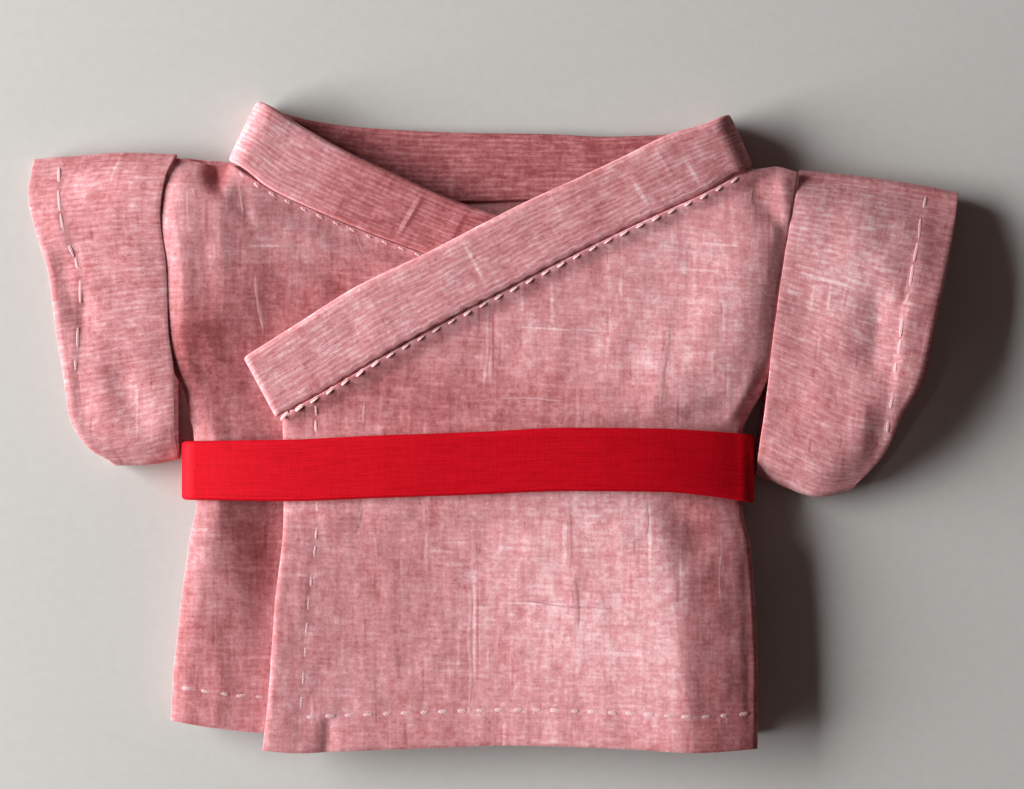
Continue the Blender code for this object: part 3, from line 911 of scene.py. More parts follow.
@dataclass(frozen=True)
class ToneAndPaintedLightWash:
    """A soft region of the flat cloth, or one of its yarns, made paler or deeper than the rest: some are the
    cloth's own tone, others are painted light and shade.
    """

    u: float
    v: float
    reach_u: float
    reach_v: float
    amount: float
    core: float = 0.35

    def tone(self, n: Nodes, place: bpy.types.NodeSocket) -> bpy.types.NodeSocket:
        """How much paler the colour is made at each place, deeper where the amount is below zero.

        Args:
            n: the material's node writer.
            place: places on the flat cloth in millimetres.

        Returns:
            The change of shade.
        """
        u, v = n.split(place)
        off_u = n.over(n.minus(u, self.u), self.reach_u)
        off_v = n.over(n.minus(v, self.v), self.reach_v)
        off = n.math("SQRT", n.plus(n.times(off_u, off_u), n.times(off_v, off_v)))
        return n.remap(off, self.core, 1.0, self.amount, 0.0)


@dataclass(frozen=True)
class SlubCotton:
    """Cotton woven from red-dyed and undyed yarns that are thick in places, with washes of tone and of
    painted light and shade laid over it.
    """

    name: str
    ribs: float = 1.0
    streaks: float = 1.0
    slubs: float = 1.0
    weft_pitch: float = 0.6
    dash: float = 1.7
    sway: float = 0.3
    tone_and_painted_light: tuple[ToneAndPaintedLightWash, ...] = ()
    tints: tuple = (
        (0.0, colour(148, 74, 78)), (0.3, colour(186, 114, 118)), (0.6, colour(214, 153, 159)),
        (0.85, colour(235, 194, 198)), (1.0, colour(244, 214, 216)),
    )

    def material(self, weave: Weave) -> bpy.types.Material:
        """The finish as a material.

        Args:
            weave: the shared cloth groups.

        Returns:
            The material.
        """
        material, n, shader = start_material(self.name)
        place = cloth_place(n)
        # The washes move the shade paler or deeper: the cloth's own tone, and painted light and shade.
        tone = n.plus(0.0, *[wash.tone(n, place) for wash in self.tone_and_painted_light])
        cloth = n.group(
            weave.cloth,
            {"Place": place, "Weft Pitch": self.weft_pitch, "Dash": self.dash, "Sway": self.sway,
             "Ribs": self.ribs, "Streaks": self.streaks, "Slubs": self.slubs, "Tone": tone},
        )
        n.fill(shader, {
            "Base Color": n.ramp(cloth.outputs["Shade"], self.tints),
            "Roughness": 0.92, "Specular IOR Level": 0.2, "Sheen Weight": 0.06, "Sheen Roughness": 0.6,
            "Subsurface Weight": 0.32, "Subsurface Radius": (0.85, 0.4, 0.4), "Subsurface Scale": 0.8 * MM,
            "Normal": relief_of(n, cloth.outputs["Height"]),
        })
        return material


@dataclass(frozen=True)
class RibbedTape:
    """Smooth red tape with fine ribs along its length, with painted shade in the grooves between the ribs."""

    name: str
    pitch: float = 0.21
    pick_pitch: float = 0.17
    rib_height: float = 0.018
    pick_height: float = 0.006
    deep: tuple = colour(182, 0, 16)
    bright: tuple = colour(212, 8, 34)

    def material(self, weave: Weave) -> bpy.types.Material:
        """The finish as a material.

        Args:
            weave: the shared cloth groups.

        Returns:
            The material.
        """
        material, n, shader = start_material(self.name)
        u, v = n.split(cloth_place(n))
        rib_set = {"Pitch": self.pitch, "Wander": 0.12, "Streak": 4.0, "Seed": 7.0}
        ribs = n.group(weave.yarns, {"Along": u, "Across": v, **rib_set}).outputs
        pick_set = {"Pitch": self.pick_pitch, "Wander": 0.1, "Streak": 2.0, "Seed": 23.0}
        picks = n.group(weave.yarns, {"Along": v, "Across": u, **pick_set}).outputs
        tone = n.plus(n.times(ribs["Tone"], 0.6), n.times(picks["Tone"], 0.4))
        # Painted shade: the rib crests are paler and the grooves between them deeper.
        shade = n.plus(tone, n.times(n.minus(ribs["Ridge"], 0.66), 0.3))
        height = n.plus(n.times(ribs["Ridge"], self.rib_height), n.times(picks["Ridge"], self.pick_height))
        n.fill(shader, {
            "Base Color": n.mix(n.remap(shade, 0.3, 0.72), self.deep, self.bright),
            "Roughness": n.plus(0.62, n.times(n.minus(tone, 0.5), 0.3)), "Specular IOR Level": 0.1,
            "Sheen Weight": 0.02, "Sheen Tint": colour(255, 90, 90), "Normal": relief_of(n, height),
        })
        return material


@dataclass(frozen=True)
class SewingThread:
    """Soft twisted sewing thread, with painted shade in the grooves of its twist."""

    name: str
    pale: tuple = colour(229, 188, 192)
    deep: tuple = colour(212, 162, 167)
    twist: float = 0.32
    lean: float = 0.8
    strand_height: float = 0.015

    def material(self) -> bpy.types.Material:
        """The finish as a material."""
        material, n, shader = start_material(self.name)
        u, v = n.split(cloth_place(n))
        slant = n.plus(u, n.times(v, self.lean))
        twist = n.plus(n.times(n.math("SINE", n.times(slant, math.tau / self.twist)), 0.5), 0.5)
        # Painted shade: the thread is deep in the grooves of the twist and pale on the strands.
        n.fill(shader, {
            "Base Color": n.mix(twist, self.deep, self.pale), "Roughness": n.plus(0.7, n.times(twist, 0.1)),
            "Normal": relief_of(n, n.times(twist, self.strand_height)),
        })
        return material


@dataclass(frozen=True)
class Tabletop:
    """A plain pale surface with a faint grain."""

    name: str
    light: tuple = colour(196, 197, 195)
    shade: tuple = colour(188, 189, 187)
    fineness: float = 900.0

    def material(self) -> bpy.types.Material:
        """The finish as a material."""
        material, n, shader = start_material(self.name)
        source = n.add("ShaderNodeTexCoord").outputs["Object"]
        grain = n.add("ShaderNodeTexNoise", None, {"Vector": source, "Scale": self.fineness, "Detail": 3.0})
        tint = n.mix(grain.outputs["Fac"], self.shade, self.light)
        n.fill(shader, {"Base Color": tint, "Roughness": 0.95, "Specular IOR Level": 0.1})
        return material


# Paler and deeper regions and single yarns, at places on each piece's own flat cloth: some are the cloth's
# own tone and some are painted light and shade, as noted at each row.
BODY_TONE_AND_PAINTED_LIGHT = rows_of(
    # Painted light: the over front made paler in its lower middle and upper right, where it is lit more.
    ToneAndPaintedLightWash, (14.0, -16.0, 22.0, 24.0, 0.16), (22.0, 14.0, 16.0, 18.0, 0.1),
    # Painted shade: deeper on the over front's right edge where it turns away, and just above the belt. The
    # under front's upper left near the overlap is deeper too, partly painted shade and partly a deeper tone.
    (26.0, -22.0, 7.5, 24.0, -0.24, 0.5), (-4.0, 2.0, 32.0, 5.6, -0.18), (97.0, 127.0, 17.0, 13.0, -0.2, 0.5),
    # Painted shade: deeper below the under band near the crossing, in the under front's valley below the
    # belt, and on its lower left.
    (108.0, 136.0, 9.0, 6.0, -0.14), (95.5, 110.0, 6.5, 11.0, -0.24, 0.5), (89.0, 94.0, 8.0, 13.0, -0.12),
    # Painted shade: deeper at the under front's left side, in the left shoulder's dimple, and in the dimple
    # below the belt on the right.
    (88.5, 128.0, 4.5, 6.5, -0.2), (89.8, 147.2, 2.0, 3.4, -0.5, 0.3), (20.8, -9.5, 3.6, 5.0, -0.2),
    # Single pale yarns: the cloth's own tone.
    (7.4, 10.7, 6.8, 0.2, 0.3, 0.3), (24.4, 21.9, 3.2, 0.18, 0.22, 0.3), (4.1, -19.0, 4.6, 0.18, 0.25, 0.3),
    # Painted light and shade of a raised yarn: a pale yarn with a deeper line just to its right.
    (-2.2, -21.6, 0.22, 9.2, 0.2, 0.3), (-1.8, -21.6, 0.18, 9.0, -0.22, 0.3),
    # A pale yarn of the cloth's own. Then a pale yarn with painted shade in a deeper line just to its right,
    # and a lone dark yarn of the cloth's own.
    (16.6, -11.6, 0.26, 4.4, 0.24, 0.3), (-0.6, 8.9, 0.26, 5.2, 0.22, 0.3),
    (-0.15, 8.9, 0.2, 5.0, -0.24, 0.3), (18.1, 8.8, 0.22, 4.2, -0.2, 0.3),
    # Single pale yarns: the cloth's own tone.
    (24.3, -13.4, 0.22, 4.6, 0.18, 0.3), (-7.3, -13.2, 0.22, 5.6, 0.18, 0.3),
    (95.4, 139.3, 2.4, 0.18, 0.25, 0.3),
)
SLEEVE_TONE_AND_PAINTED_LIGHT = rows_of(
    # A paler region of the wearer's left sleeve, partly its own tone and partly painted light. A pale yarn of
    # the cloth's own.
    ToneAndPaintedLightWash, (707.5, 674.0, 9.0, 12.0, 0.12), (704.6, 669.65, 4.8, 0.3, 0.22, 0.25),
    # Painted shade: a deeper line beside that yarn, and deeper strips along both sleeves' shoulder tops.
    (705.2, 669.2, 4.2, 0.25, -0.16, 0.2), (709.0, 683.0, 16.0, 5.0, -0.12), (508.0, 484.0, 16.0, 5.0, -0.14),
)
BAND_TONE_AND_PAINTED_SHADE = rows_of(
    # The back of the neck band is deeper, partly as painted shade where it lies low between the fronts' bands
    # and partly as its inner side's own tone. The under band is deeper near the crossing as painted shade.
    ToneAndPaintedLightWash, (985.0, 904.0, 28.0, 200.0, -0.34, 0.85), (1045.0, 904.0, 24.0, 200.0, -0.3, 0.5),
    # Painted shade of a raised yarn: a pale yarn with a deeper line just beside it.
    (1035.6, 903.4, 0.38, 3.6, 0.34, 0.4), (1036.1, 903.4, 0.3, 3.4, -0.22, 0.4),
    # A lone dark yarn and single pale yarns: the cloth's own tone.
    (1041.1, 904.4, 0.4, 2.4, -0.3, 0.3), (945.8, 902.6, 0.35, 2.6, 0.26, 0.3),
    (951.8, 902.4, 0.35, 2.4, 0.24, 0.3), (926.6, 903.9, 0.3, 3.2, 0.22, 0.3),
)
# The thick yarns are paler all over: their own tone.
ALL_OVER_PALER = ToneAndPaintedLightWash(0.0, 0.0, 900.0, 900.0, 0.07)


@dataclass(frozen=True)
class Wardrobe:
    """The finishes, made once."""

    body: bpy.types.Material
    sleeve: bpy.types.Material
    band: bpy.types.Material
    tape: bpy.types.Material
    thread: bpy.types.Material
    slub: bpy.types.Material

    @classmethod
    def make(cls) -> "Wardrobe":
        """Makes every finish of the garment."""
        weave = Weave.make()
        body = SlubCotton("cotton_body", ribs=0.36, tone_and_painted_light=BODY_TONE_AND_PAINTED_LIGHT)
        sleeve = SlubCotton("cotton_sleeve", ribs=0.75, streaks=0.8, sway=0.2, tone_and_painted_light=SLEEVE_TONE_AND_PAINTED_LIGHT)
        band = SlubCotton(
            "cotton_band", ribs=0.85, streaks=0.6, slubs=0.5, weft_pitch=0.52, dash=2.4, sway=0.1,
            tone_and_painted_light=BAND_TONE_AND_PAINTED_SHADE,
        )
        slub = SlubCotton("cotton_slub", ribs=0.1, streaks=0.3, slubs=0.0, tone_and_painted_light=(ALL_OVER_PALER,))
        return cls(
            body=body.material(weave),
            sleeve=sleeve.material(weave),
            band=band.material(weave),
            tape=RibbedTape("red_tape").material(weave),
            thread=SewingThread("thread").material(),
            slub=slub.material(weave),
        )


Surface = Callable[[ARRAY, ARRAY], tuple[ARRAY, ARRAY, ARRAY, ARRAY, ARRAY]]


def as_object(name: str, sheet: bmesh.types.BMesh, material: bpy.types.Material) -> bpy.types.Object:
    """Ends a bmesh as a piece of the garment that rides on its one body.

    Args:
        name: the piece's name.
        sheet: the bmesh, in metres, which is freed.
        material: its finish.

    Returns:
        The object.
    """
    mesh = bpy.data.meshes.new(name)
    sheet.to_mesh(mesh)
    sheet.free()
    mesh.shade_smooth()
    mesh.materials.append(material)
    piece = bpy.data.objects.new(name, mesh)
    bpy.context.scene.collection.objects.link(piece)
    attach(piece, "root")
    return piece


def laid_grid(surface: Surface, steps: tuple[int, int], map_start: float) -> bmesh.types.BMesh:
    """A grid laid through the points of a surface, with its places on the flat cloth as a map.

    Args:
        surface: gives x, y, z and the flat places s and t, in millimetres, from shares across and up.
        steps: how many steps the grid has each way.
        map_start: where this piece's cloth starts on the bolt, so that no two pieces repeat.

    Returns:
        The bmesh, in metres.
    """
    sheet = bmesh.new()
    flat_map = sheet.loops.layers.uv.new("cloth")
    bmesh.ops.create_grid(sheet, x_segments=steps[0], y_segments=steps[1], size=0.5)
    shares = np.array([vert.co[:2] for vert in sheet.verts]) + 0.5
    x, y, z, s, t = surface(shares[:, 0], shares[:, 1])
    flat = np.stack([s + map_start, t + map_start], axis=1) * UV_PER_MM
    for vert, place in zip(sheet.verts, np.stack([x, y, z], axis=1) * MM):
        vert.co = place
    for face in sheet.faces:
        for loop in face.loops:
            loop[flat_map].uv = flat[loop.vert.index]
    sheet.normal_update()
    return sheet


def tube_sheet(points: ARRAY, flat: ARRAY, map_start: float) -> bmesh.types.BMesh:
    """A tube laid through rings of points.

    Args:
        points: places in millimetres, rows along the tube by places round it, with the first place again
            at the end.
        flat: the places on the flat cloth, in the same order.
        map_start: where this piece's cloth starts on the bolt.

    Returns:
        The bmesh, in metres, with its faces pointing out.
    """
    rows, count = points.shape[0] - 1, points.shape[1] - 1

    def surface(onward: ARRAY, around: ARRAY) -> tuple[ARRAY, ...]:
        """Points of the tube from shares along it and round it."""
        place = np.round(onward * rows).astype(int), np.round(around * count).astype(int)
        return (*points[place].T, *flat[place].T)

    tube = laid_grid(surface, (rows, count), map_start)
    bmesh.ops.remove_doubles(tube, verts=tube.verts, dist=MM / 1000)
    bmesh.ops.recalc_face_normals(tube, faces=tube.faces)
    return tube


def add_wall(piece: bpy.types.Object, ply: float, rim: float) -> None:
    """Gives a piece's surface its cloth below or inside it, and rounds its cut edges.

    Args:
        piece: the piece.
        ply: the cloth's thickness.
        rim: how far its edges are rounded, or 0 for none.
    """
    wall = piece.modifiers.new("Ply", "SOLIDIFY")
    wall.thickness = ply * MM
    wall.offset = -1.0
    if rim:
        edge = piece.modifiers.new("Folded edge", "BEVEL")
        edge.width = rim * MM
        edge.segments = 3
        edge.limit_method = "ANGLE"
        edge.angle_limit = math.radians(60)


@dataclass
class BodyPanel:
    """A panel of the body between its four edges: the back or one of the two fronts."""

    name: str
    map_start: float
    hem: Sequence[Point]
    top: Sequence[Point]
    steps: tuple[int, int]
    ply: float = PANEL_PLY
    waist: float = -4.5
    lowest: float = -35.0
    highest: float = 28.4

    def left(self, y: ARRAY) -> ARRAY:
        """Left edge at heights y."""
        raise NotImplementedError

    def right(self, y: ARRAY) -> ARRAY:
        """Right edge at heights y."""
        raise NotImplementedError

    def top_face(self, x: ARRAY, y: ARRAY) -> ARRAY:
        """Height of the cloth's upper face at points seen from above."""
        raise NotImplementedError

    def grain(self, y: ARRAY) -> ARRAY:
        """How far the cloth's ribs slope down to the right at heights y."""
        return np.zeros_like(y)

    def between(self, y: ARRAY, hem: ARRAY, top: ARRAY) -> ARRAY:
        """Heights y stretched from the waist so that they run from the hem to the top.

        Args:
            y: the heights before.
            hem: where the hem is at each.
            top: where the top is at each.

        Returns:
            The stretched heights.
        """
        below = self.waist + (y - self.waist) * (hem - self.waist) / (self.lowest - self.waist)
        above = self.waist + (y - self.waist) * (top - self.waist) / (self.highest - self.waist)
        return np.where(y < self.waist, below, above)

    def surface(self, across: ARRAY, up: ARRAY) -> tuple[ARRAY, ...]:
        """Points of the panel's upper face.

        Args:
            across: shares from the left edge to the right.
            up: shares from the hem to the top.

        Returns:
            The places x, y and z, and the places on the flat cloth.
        """
        y = self.lowest + up * (self.highest - self.lowest)
        rough_x = self.left(y) + across * (self.right(y) - self.left(y))
        y = self.between(y, column(self.hem, "x", "y", rough_x), column(self.top, "x", "y", rough_x))
        x = self.left(y) + across * (self.right(y) - self.left(y))
        z = self.top_face(x, y)
        return x, y, z, x, y + self.grain(y) * x

    def build(self, material: bpy.types.Material) -> bpy.types.Object:
        """Makes the panel.

        Args:
            material: its finish.

        Returns:
            The piece, standing for its solid.
        """
        piece = as_object(self.name + "_cloth", laid_grid(self.surface, self.steps, self.map_start), material)
        add_wall(piece, self.ply, PANEL_RIM)
        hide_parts(self.name)
        return piece


def relief(rows: Sequence[NamedTuple], names: Sequence[str], stations: ARRAY, x: ARRAY, y: ARRAY) -> ARRAY:
    """Heights from a table whose rows lie up the garment and whose columns lie across it.

    Args:
        rows: the table.
        names: the columns that hold heights, in order across.
        stations: the place x of each of them, for each wanted point.
        x: the wanted places across.
        y: the wanted places along.

    Returns:
        The height at each point.
    """
    heights = np.stack([column(rows, "y", name, y) for name in names], axis=1)
    return curve(stations, heights, x)


def belt_underside(x: ARRAY, y: ARRAY) -> tuple[ARRAY, ARRAY]:
    """What the belt does to the cloth below it.

    Args:
        x: places across.
        y: places along.

    Returns:
        The height of the belt's inner face, and how strongly it holds the cloth there, from 0 to 1.
    """
    off = np.abs(y - column(BELT_ROWS, "x", "line", x)) - column(BELT_ROWS, "x", "width", x) / 2
    inner = column(BELT_TOPS, "x", "z", x) - BELT_PLY - BELT_CLEARANCE
    return inner, 1 - ease((off - BELT_HOLD_START) / BELT_HOLD_RUN)


def held_by_belt(z: ARRAY, x: ARRAY, y: ARRAY) -> ARRAY:
    """Heights of cloth pressed down where the belt crosses it."""
    inner, hold = belt_underside(x, y)
    return z - np.maximum(z - inner, 0.0) * hold


def tucked_in(seam: ARRAY) -> ARRAY:
    """How far a front is lowered to go in under the collar band, from its distance to the seam."""
    return TUCK_DIP * (1 - ease((seam + TUCK_START) / TUCK_RUN))


def side_roll(y: ARRAY, inward: ARRAY, below: float, above: float) -> ARRAY:
    """How far a front's side rolls down, which changes at the belt.

    Args:
        y: places along.
        inward: distances in from the side edge.
        below: the roll at the edge below the belt.
        above: the roll at the edge above the belt.

    Returns:
        The roll at each place.
    """
    return (below + (above - below) * ease((y - ROLL_CHANGE_START) / ROLL_CHANGE_RUN)) * roll_down(inward)


def under_face(x: ARRAY, y: ARRAY) -> ARRAY:
    """Height of the under front's upper face before its hem."""
    side = x_on(UNDER_SIDE, y)
    fixed = [np.full_like(side, place) for place in UNDER_STATIONS]
    stations = np.stack([side, side + UNDER_RIDGE_WIDTH, *fixed], axis=1)
    names = ("edge", "ridge", "fall", "valley", "middle", "far")
    return relief(UNDER_SHAPE, names, stations, x, y) + sum(fold.lift(x, y) for fold in UNDER_CREASES)


def over_face(x: ARRAY, y: ARRAY) -> ARRAY:
    """Height of the over front's upper face before its hem."""
    side = x_on(OVER_SIDE, y)
    crest = column(OVER_SHAPE, "y", "crest_x", y)
    fixed = [np.full_like(side, place) for place in OVER_STATIONS]
    stations = np.stack([*fixed, crest - RISE_WIDTH, crest, side - TURN_WIDTH, side], axis=1)
    names = ("free", "left", "centre", "rise", "crest", "turn", "edge")
    return relief(OVER_SHAPE, names, stations, x, y) + sum(fold.lift(x, y) for fold in OVER_CREASES)


def seam_line(rows: Sequence[BandRow]) -> list[Point]:
    """The collar's seam as an outline."""
    return [Point(row.seam_x, row.seam_y) for row in rows]


UNDER_SEAM = seam_line((*UNDER_BAND, LEFT_CREASE))
OVER_SEAM = seam_line((*OVER_BAND, RIGHT_CREASE))


@dataclass
class UnderFront(BodyPanel):
    """The wearer's right front, which runs on below the other."""

    rumple: Rumple = Rumple(0.016, 3.0, 9.0, 11)
    side_out: float = 0.2
    roll_below: float = 0.16
    roll_above: float = 0.04
    seam_slant: float = 0.45
    seam_dip: float = 0.45
    seam_reach: float = 4.0

    def left(self, y: ARRAY) -> ARRAY:
        """Side edge at heights y."""
        return x_on(UNDER_SIDE, y) - self.side_out

    def right(self, y: ARRAY) -> ARRAY:
        """Free edge below, and above it the edge that is sewn under the collar."""
        start = UNDER_EDGE[-1]
        return np.where(y <= start.y, x_on(UNDER_EDGE, y), np.minimum(x_on(UNDER_SEAM, y) + TUCK, start.x))

    def top_face(self, x: ARRAY, y: ARRAY) -> ARRAY:
        """Height of the upper face.

        Args:
            x: places across.
            y: places along.

        Returns:
            The height at each place.
        """
        z = held_by_belt(under_face(x, y) + self.rumple.lift(x, y), x, y)
        z += ply_rise(y - column(self.hem, "x", "y", x), HEM_DEPTH - PLY_EARLY)
        z -= side_roll(y, x - self.left(y), self.roll_below, self.roll_above)
        seam = (x_on(UNDER_SEAM, y) - x) * self.seam_slant
        lowered = tucked_in(seam) + self.seam_dip * (1 - ease(seam / self.seam_reach))
        return z - np.where(y > UNDER_EDGE[-1].y, lowered, 0.0)


@dataclass
class OverFront(BodyPanel):
    """The wearer's left front, which lies over the other."""

    rumple: Rumple = Rumple(0.016, 3.0, 9.0, 29)
    side_out: float = 0.15
    roll_below: float = 0.32
    roll_above: float = 0.12
    seam_slant: float = 0.5
    seam_tuck: float = 1.25
    seam_swell: float = 0.38
    seam_reach: float = 2.2
    grain_slope: float = 0.02
    grain_turn: float = 0.09
    grain_from: float = 2.0
    grain_run: float = 20.0

    def left(self, y: ARRAY) -> ARRAY:
        """Free edge below, and above it the edge that is sewn under the collar."""
        start = OVER_EDGE[-1]
        return np.where(y <= start.y, x_on(OVER_EDGE, y), np.maximum(x_on(OVER_SEAM, y) - TUCK, start.x))

    def right(self, y: ARRAY) -> ARRAY:
        """Side edge at heights y."""
        return x_on(OVER_SIDE, y) + self.side_out

    def grain(self, y: ARRAY) -> ARRAY:
        """How far the cloth's ribs slope down to the right at heights y."""
        return self.grain_slope + self.grain_turn * ease((y - self.grain_from) / self.grain_run)

    def top_face(self, x: ARRAY, y: ARRAY) -> ARRAY:
        """Height of the upper face.

        Args:
            x: places across.
            y: places along.

        Returns:
            The height at each place.
        """
        z = held_by_belt(over_face(x, y) + self.rumple.lift(x, y), x, y)
        z += ply_rise(y - column(self.hem, "x", "y", x), HEM_DEPTH)
        edge_hem = ply_rise(x - x_on(OVER_EDGE, y), EDGE_HEM_DEPTH, rise=0.02, held=0.03, roll=0.12)
        z += np.where(y < EDGE_HEM_TOP, edge_hem, 0.0)
        z -= side_roll(y, self.right(y) - x, self.roll_below, self.roll_above)
        seam = (x - x_on(OVER_SEAM, y)) * self.seam_slant
        swell = self.seam_swell * (1 - ease(np.abs(seam) / self.seam_reach))
        lowered = tucked_in(seam) * self.seam_tuck - swell
        return z - np.where(y > OVER_EDGE[-1].y, lowered, 0.0)


@dataclass
class Back(BodyPanel):
    """The back, which lies on the surface and arches over the belt."""

    def left(self, y: ARRAY) -> ARRAY:
        """Side edge on the viewer's left."""
        return x_on(UNDER_SIDE, y) + BACK_INSET

    def right(self, y: ARRAY) -> ARRAY:
        """Side edge on the viewer's right."""
        return x_on(OVER_SIDE, y) - BACK_INSET

    def top_face(self, x: ARRAY, y: ARRAY) -> ARRAY:
        """Height of the upper face.

        Args:
            x: places across.
            y: places along.

        Returns:
            The height at each place.
        """
        off = np.abs(y - column(BELT_ROWS, "x", "line", x)) - ARCH_HALF_WIDTH
        side = np.minimum(x - self.left(y), self.right(y) - x)
        arch = BACK_ARCH * (1 - ease(off / ARCH_RUN))
        side_rise = BACK_SIDE * (1 - ease(side / BACK_SIDE_RUN))
        return self.ply + BACK_LIFT + np.maximum(arch, side_rise)


@dataclass
class Sleeve:
    """A short wide sleeve: a flattened tube, open at the cuff and at the armhole."""

    name: str
    map_start: float
    armhole: Sequence[Point]
    cuff: Sequence[Point]
    top: Sequence[Point]
    bottom: Sequence[Point]
    rows: Sequence[SleeveRow]
    leans: Sequence[DownRow]
    sewn: Sequence[DownRow]
    folds: Sequence[Fold | Crease]
    rumple: Rumple
    slope: float = 0.0
    out_steps: int = 84
    front_steps: int = 124
    back_steps: int = 60
    fold_steps: int = 14
    bulge: float = 1.18
    softness: int = 6
    mouth_dome: float = 9.0
    mouth_fall: float = 1.5
    slope_from: float = 0.45

    def place(self, down: ARRAY, out: ARRAY) -> tuple[ARRAY, ARRAY]:
        """Points of the sleeve seen from above, between its four edges.

        Args:
            down: shares from the shoulder to the bottom fold.
            out: shares from the armhole to the cuff.

        Returns:
            The places x and y.
        """
        edges = [
            along(line, share)
            for line, share in ((self.armhole, down), (self.cuff, down), (self.top, out), (self.bottom, out))
        ]
        found = []
        for axis in (0, 1):
            corners = (
                (1 - down) * ((1 - out) * self.top[0][axis] + out * self.top[-1][axis])
                + down * ((1 - out) * self.bottom[0][axis] + out * self.bottom[-1][axis])
            )
            found.append(
                (1 - out) * edges[0][axis] + out * edges[1][axis]
                + (1 - down) * edges[2][axis] + down * edges[3][axis] - corners
            )
        return found[0], found[1]

    def length_down(self, out: ARRAY) -> ARRAY:
        """Distance from the shoulder to the bottom fold at shares out."""
        top_x, top_y = self.place(np.zeros_like(out), out)
        low_x, low_y = self.place(np.ones_like(out), out)
        return np.hypot(top_x - low_x, top_y - low_y)

    def length_out(self, down: ARRAY) -> ARRAY:
        """Distance from the armhole to the cuff at shares down."""
        in_x, in_y = self.place(down, np.zeros_like(down))
        out_x, out_y = self.place(down, np.ones_like(down))
        return np.hypot(in_x - out_x, in_y - out_y)

    def front(self, down: ARRAY, out: ARRAY) -> tuple[ARRAY, ARRAY, ARRAY]:
        """Points of the middle of the front layer.

        Args:
            down: shares down the front layer.
            out: shares from the armhole to the cuff.

        Returns:
            The places x, y and z.
        """
        low = FLOOR_LAYER + 2 * SLEEVE_FOLD
        fold = SLEEVE_FOLD / self.length_down(out)
        x, y = self.place(fold + down * (1 - 2 * fold), out)
        dome = 1 - np.abs(2 * down - 1) ** (SLEEVE_DOME + self.mouth_dome * (1 - out) ** self.mouth_fall)
        crown = column(self.rows, "share", "crown", out)
        x = x + column(self.rows, "share", "lean", out) * column(self.leans, "down", "value", down)
        lift = sum(f.lift(x, y) for f in self.folds) + self.rumple.lift(x, y)
        length = self.length_out(down)
        lift += ply_rise((1 - out) * length, column(self.sewn, "down", "value", down), CUFF_RISE)
        lift -= ARMHOLE_ROLL * roll_down(out * length)
        return x, y, low + (crown - low + lift) * dome

    def ring(self) -> tuple[ARRAY, ARRAY]:
        """The middle of the sleeve's wall round the flattened tube, starting in the middle of the back layer.

        Returns:
            The points, rows from the armhole out by places round, and their places on the flat cloth.
        """
        rows = np.linspace(0, 1, self.out_steps + 1)
        middle = FLOOR_LAYER + SLEEVE_FOLD
        stretches = []
        for stretch, count in (
            ("front", self.front_steps), ("bottom", self.fold_steps),
            ("back", self.back_steps), ("top", self.fold_steps),
        ):
            share, out = (grid.ravel() for grid in np.meshgrid(np.arange(count) / count, rows))
            fold = SLEEVE_FOLD / self.length_down(out)
            past = fold * self.bulge * np.sin(np.pi * share)
            turn = SLEEVE_FOLD * np.cos(np.pi * share)
            if stretch == "front":
                down = share
                x, y, z = self.front(share, out)
            else:
                down, z = {
                    "bottom": (1 - fold + past, middle + turn),
                    "back": (1 - fold - share * (1 - 2 * fold), np.full_like(turn, FLOOR_LAYER)),
                    "top": (fold - past, middle - turn),
                }[stretch]
                x, y = self.place(down, out)
            stretches.append(np.stack([x, y, z, down, out], axis=1).reshape(len(rows), count, 5))
        ring = np.concatenate(stretches, axis=1)
        for _ in range(self.softness):
            ring = (np.roll(ring, 1, axis=1) + 2 * ring + np.roll(ring, -1, axis=1)) / 4
        ring = np.roll(ring, -(self.front_steps + self.fold_steps + self.back_steps // 2), axis=1)
        ring = np.concatenate([ring, ring[:, :1]], axis=1)
        steps = np.median(np.linalg.norm(np.diff(ring[..., :3], axis=1), axis=2), axis=0)
        down, out = np.clip(ring[..., 3], 0, 1), ring[..., 4]
        s = out * self.length_out(down.ravel()).reshape(down.shape)
        t = -summed(steps) + self.slope * ease(down / self.slope_from) * s
        return ring[..., :3], np.stack([s, t], axis=-1)

    def build(self, material: bpy.types.Material) -> bpy.types.Object:
        """Makes the sleeve.

        Args:
            material: its finish.

        Returns:
            The piece, standing for its solid.
        """
        tube = tube_sheet(*self.ring(), self.map_start)
        tube.normal_update()
        for vert, out in [(vert, vert.normal.copy()) for vert in tube.verts]:
            vert.co += out * WALL / 2 * MM
        piece = as_object(self.name + "_cloth", tube, material)
        add_wall(piece, SLEEVE_PLY, SLEEVE_RIM)
        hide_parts(self.name)
        return piece


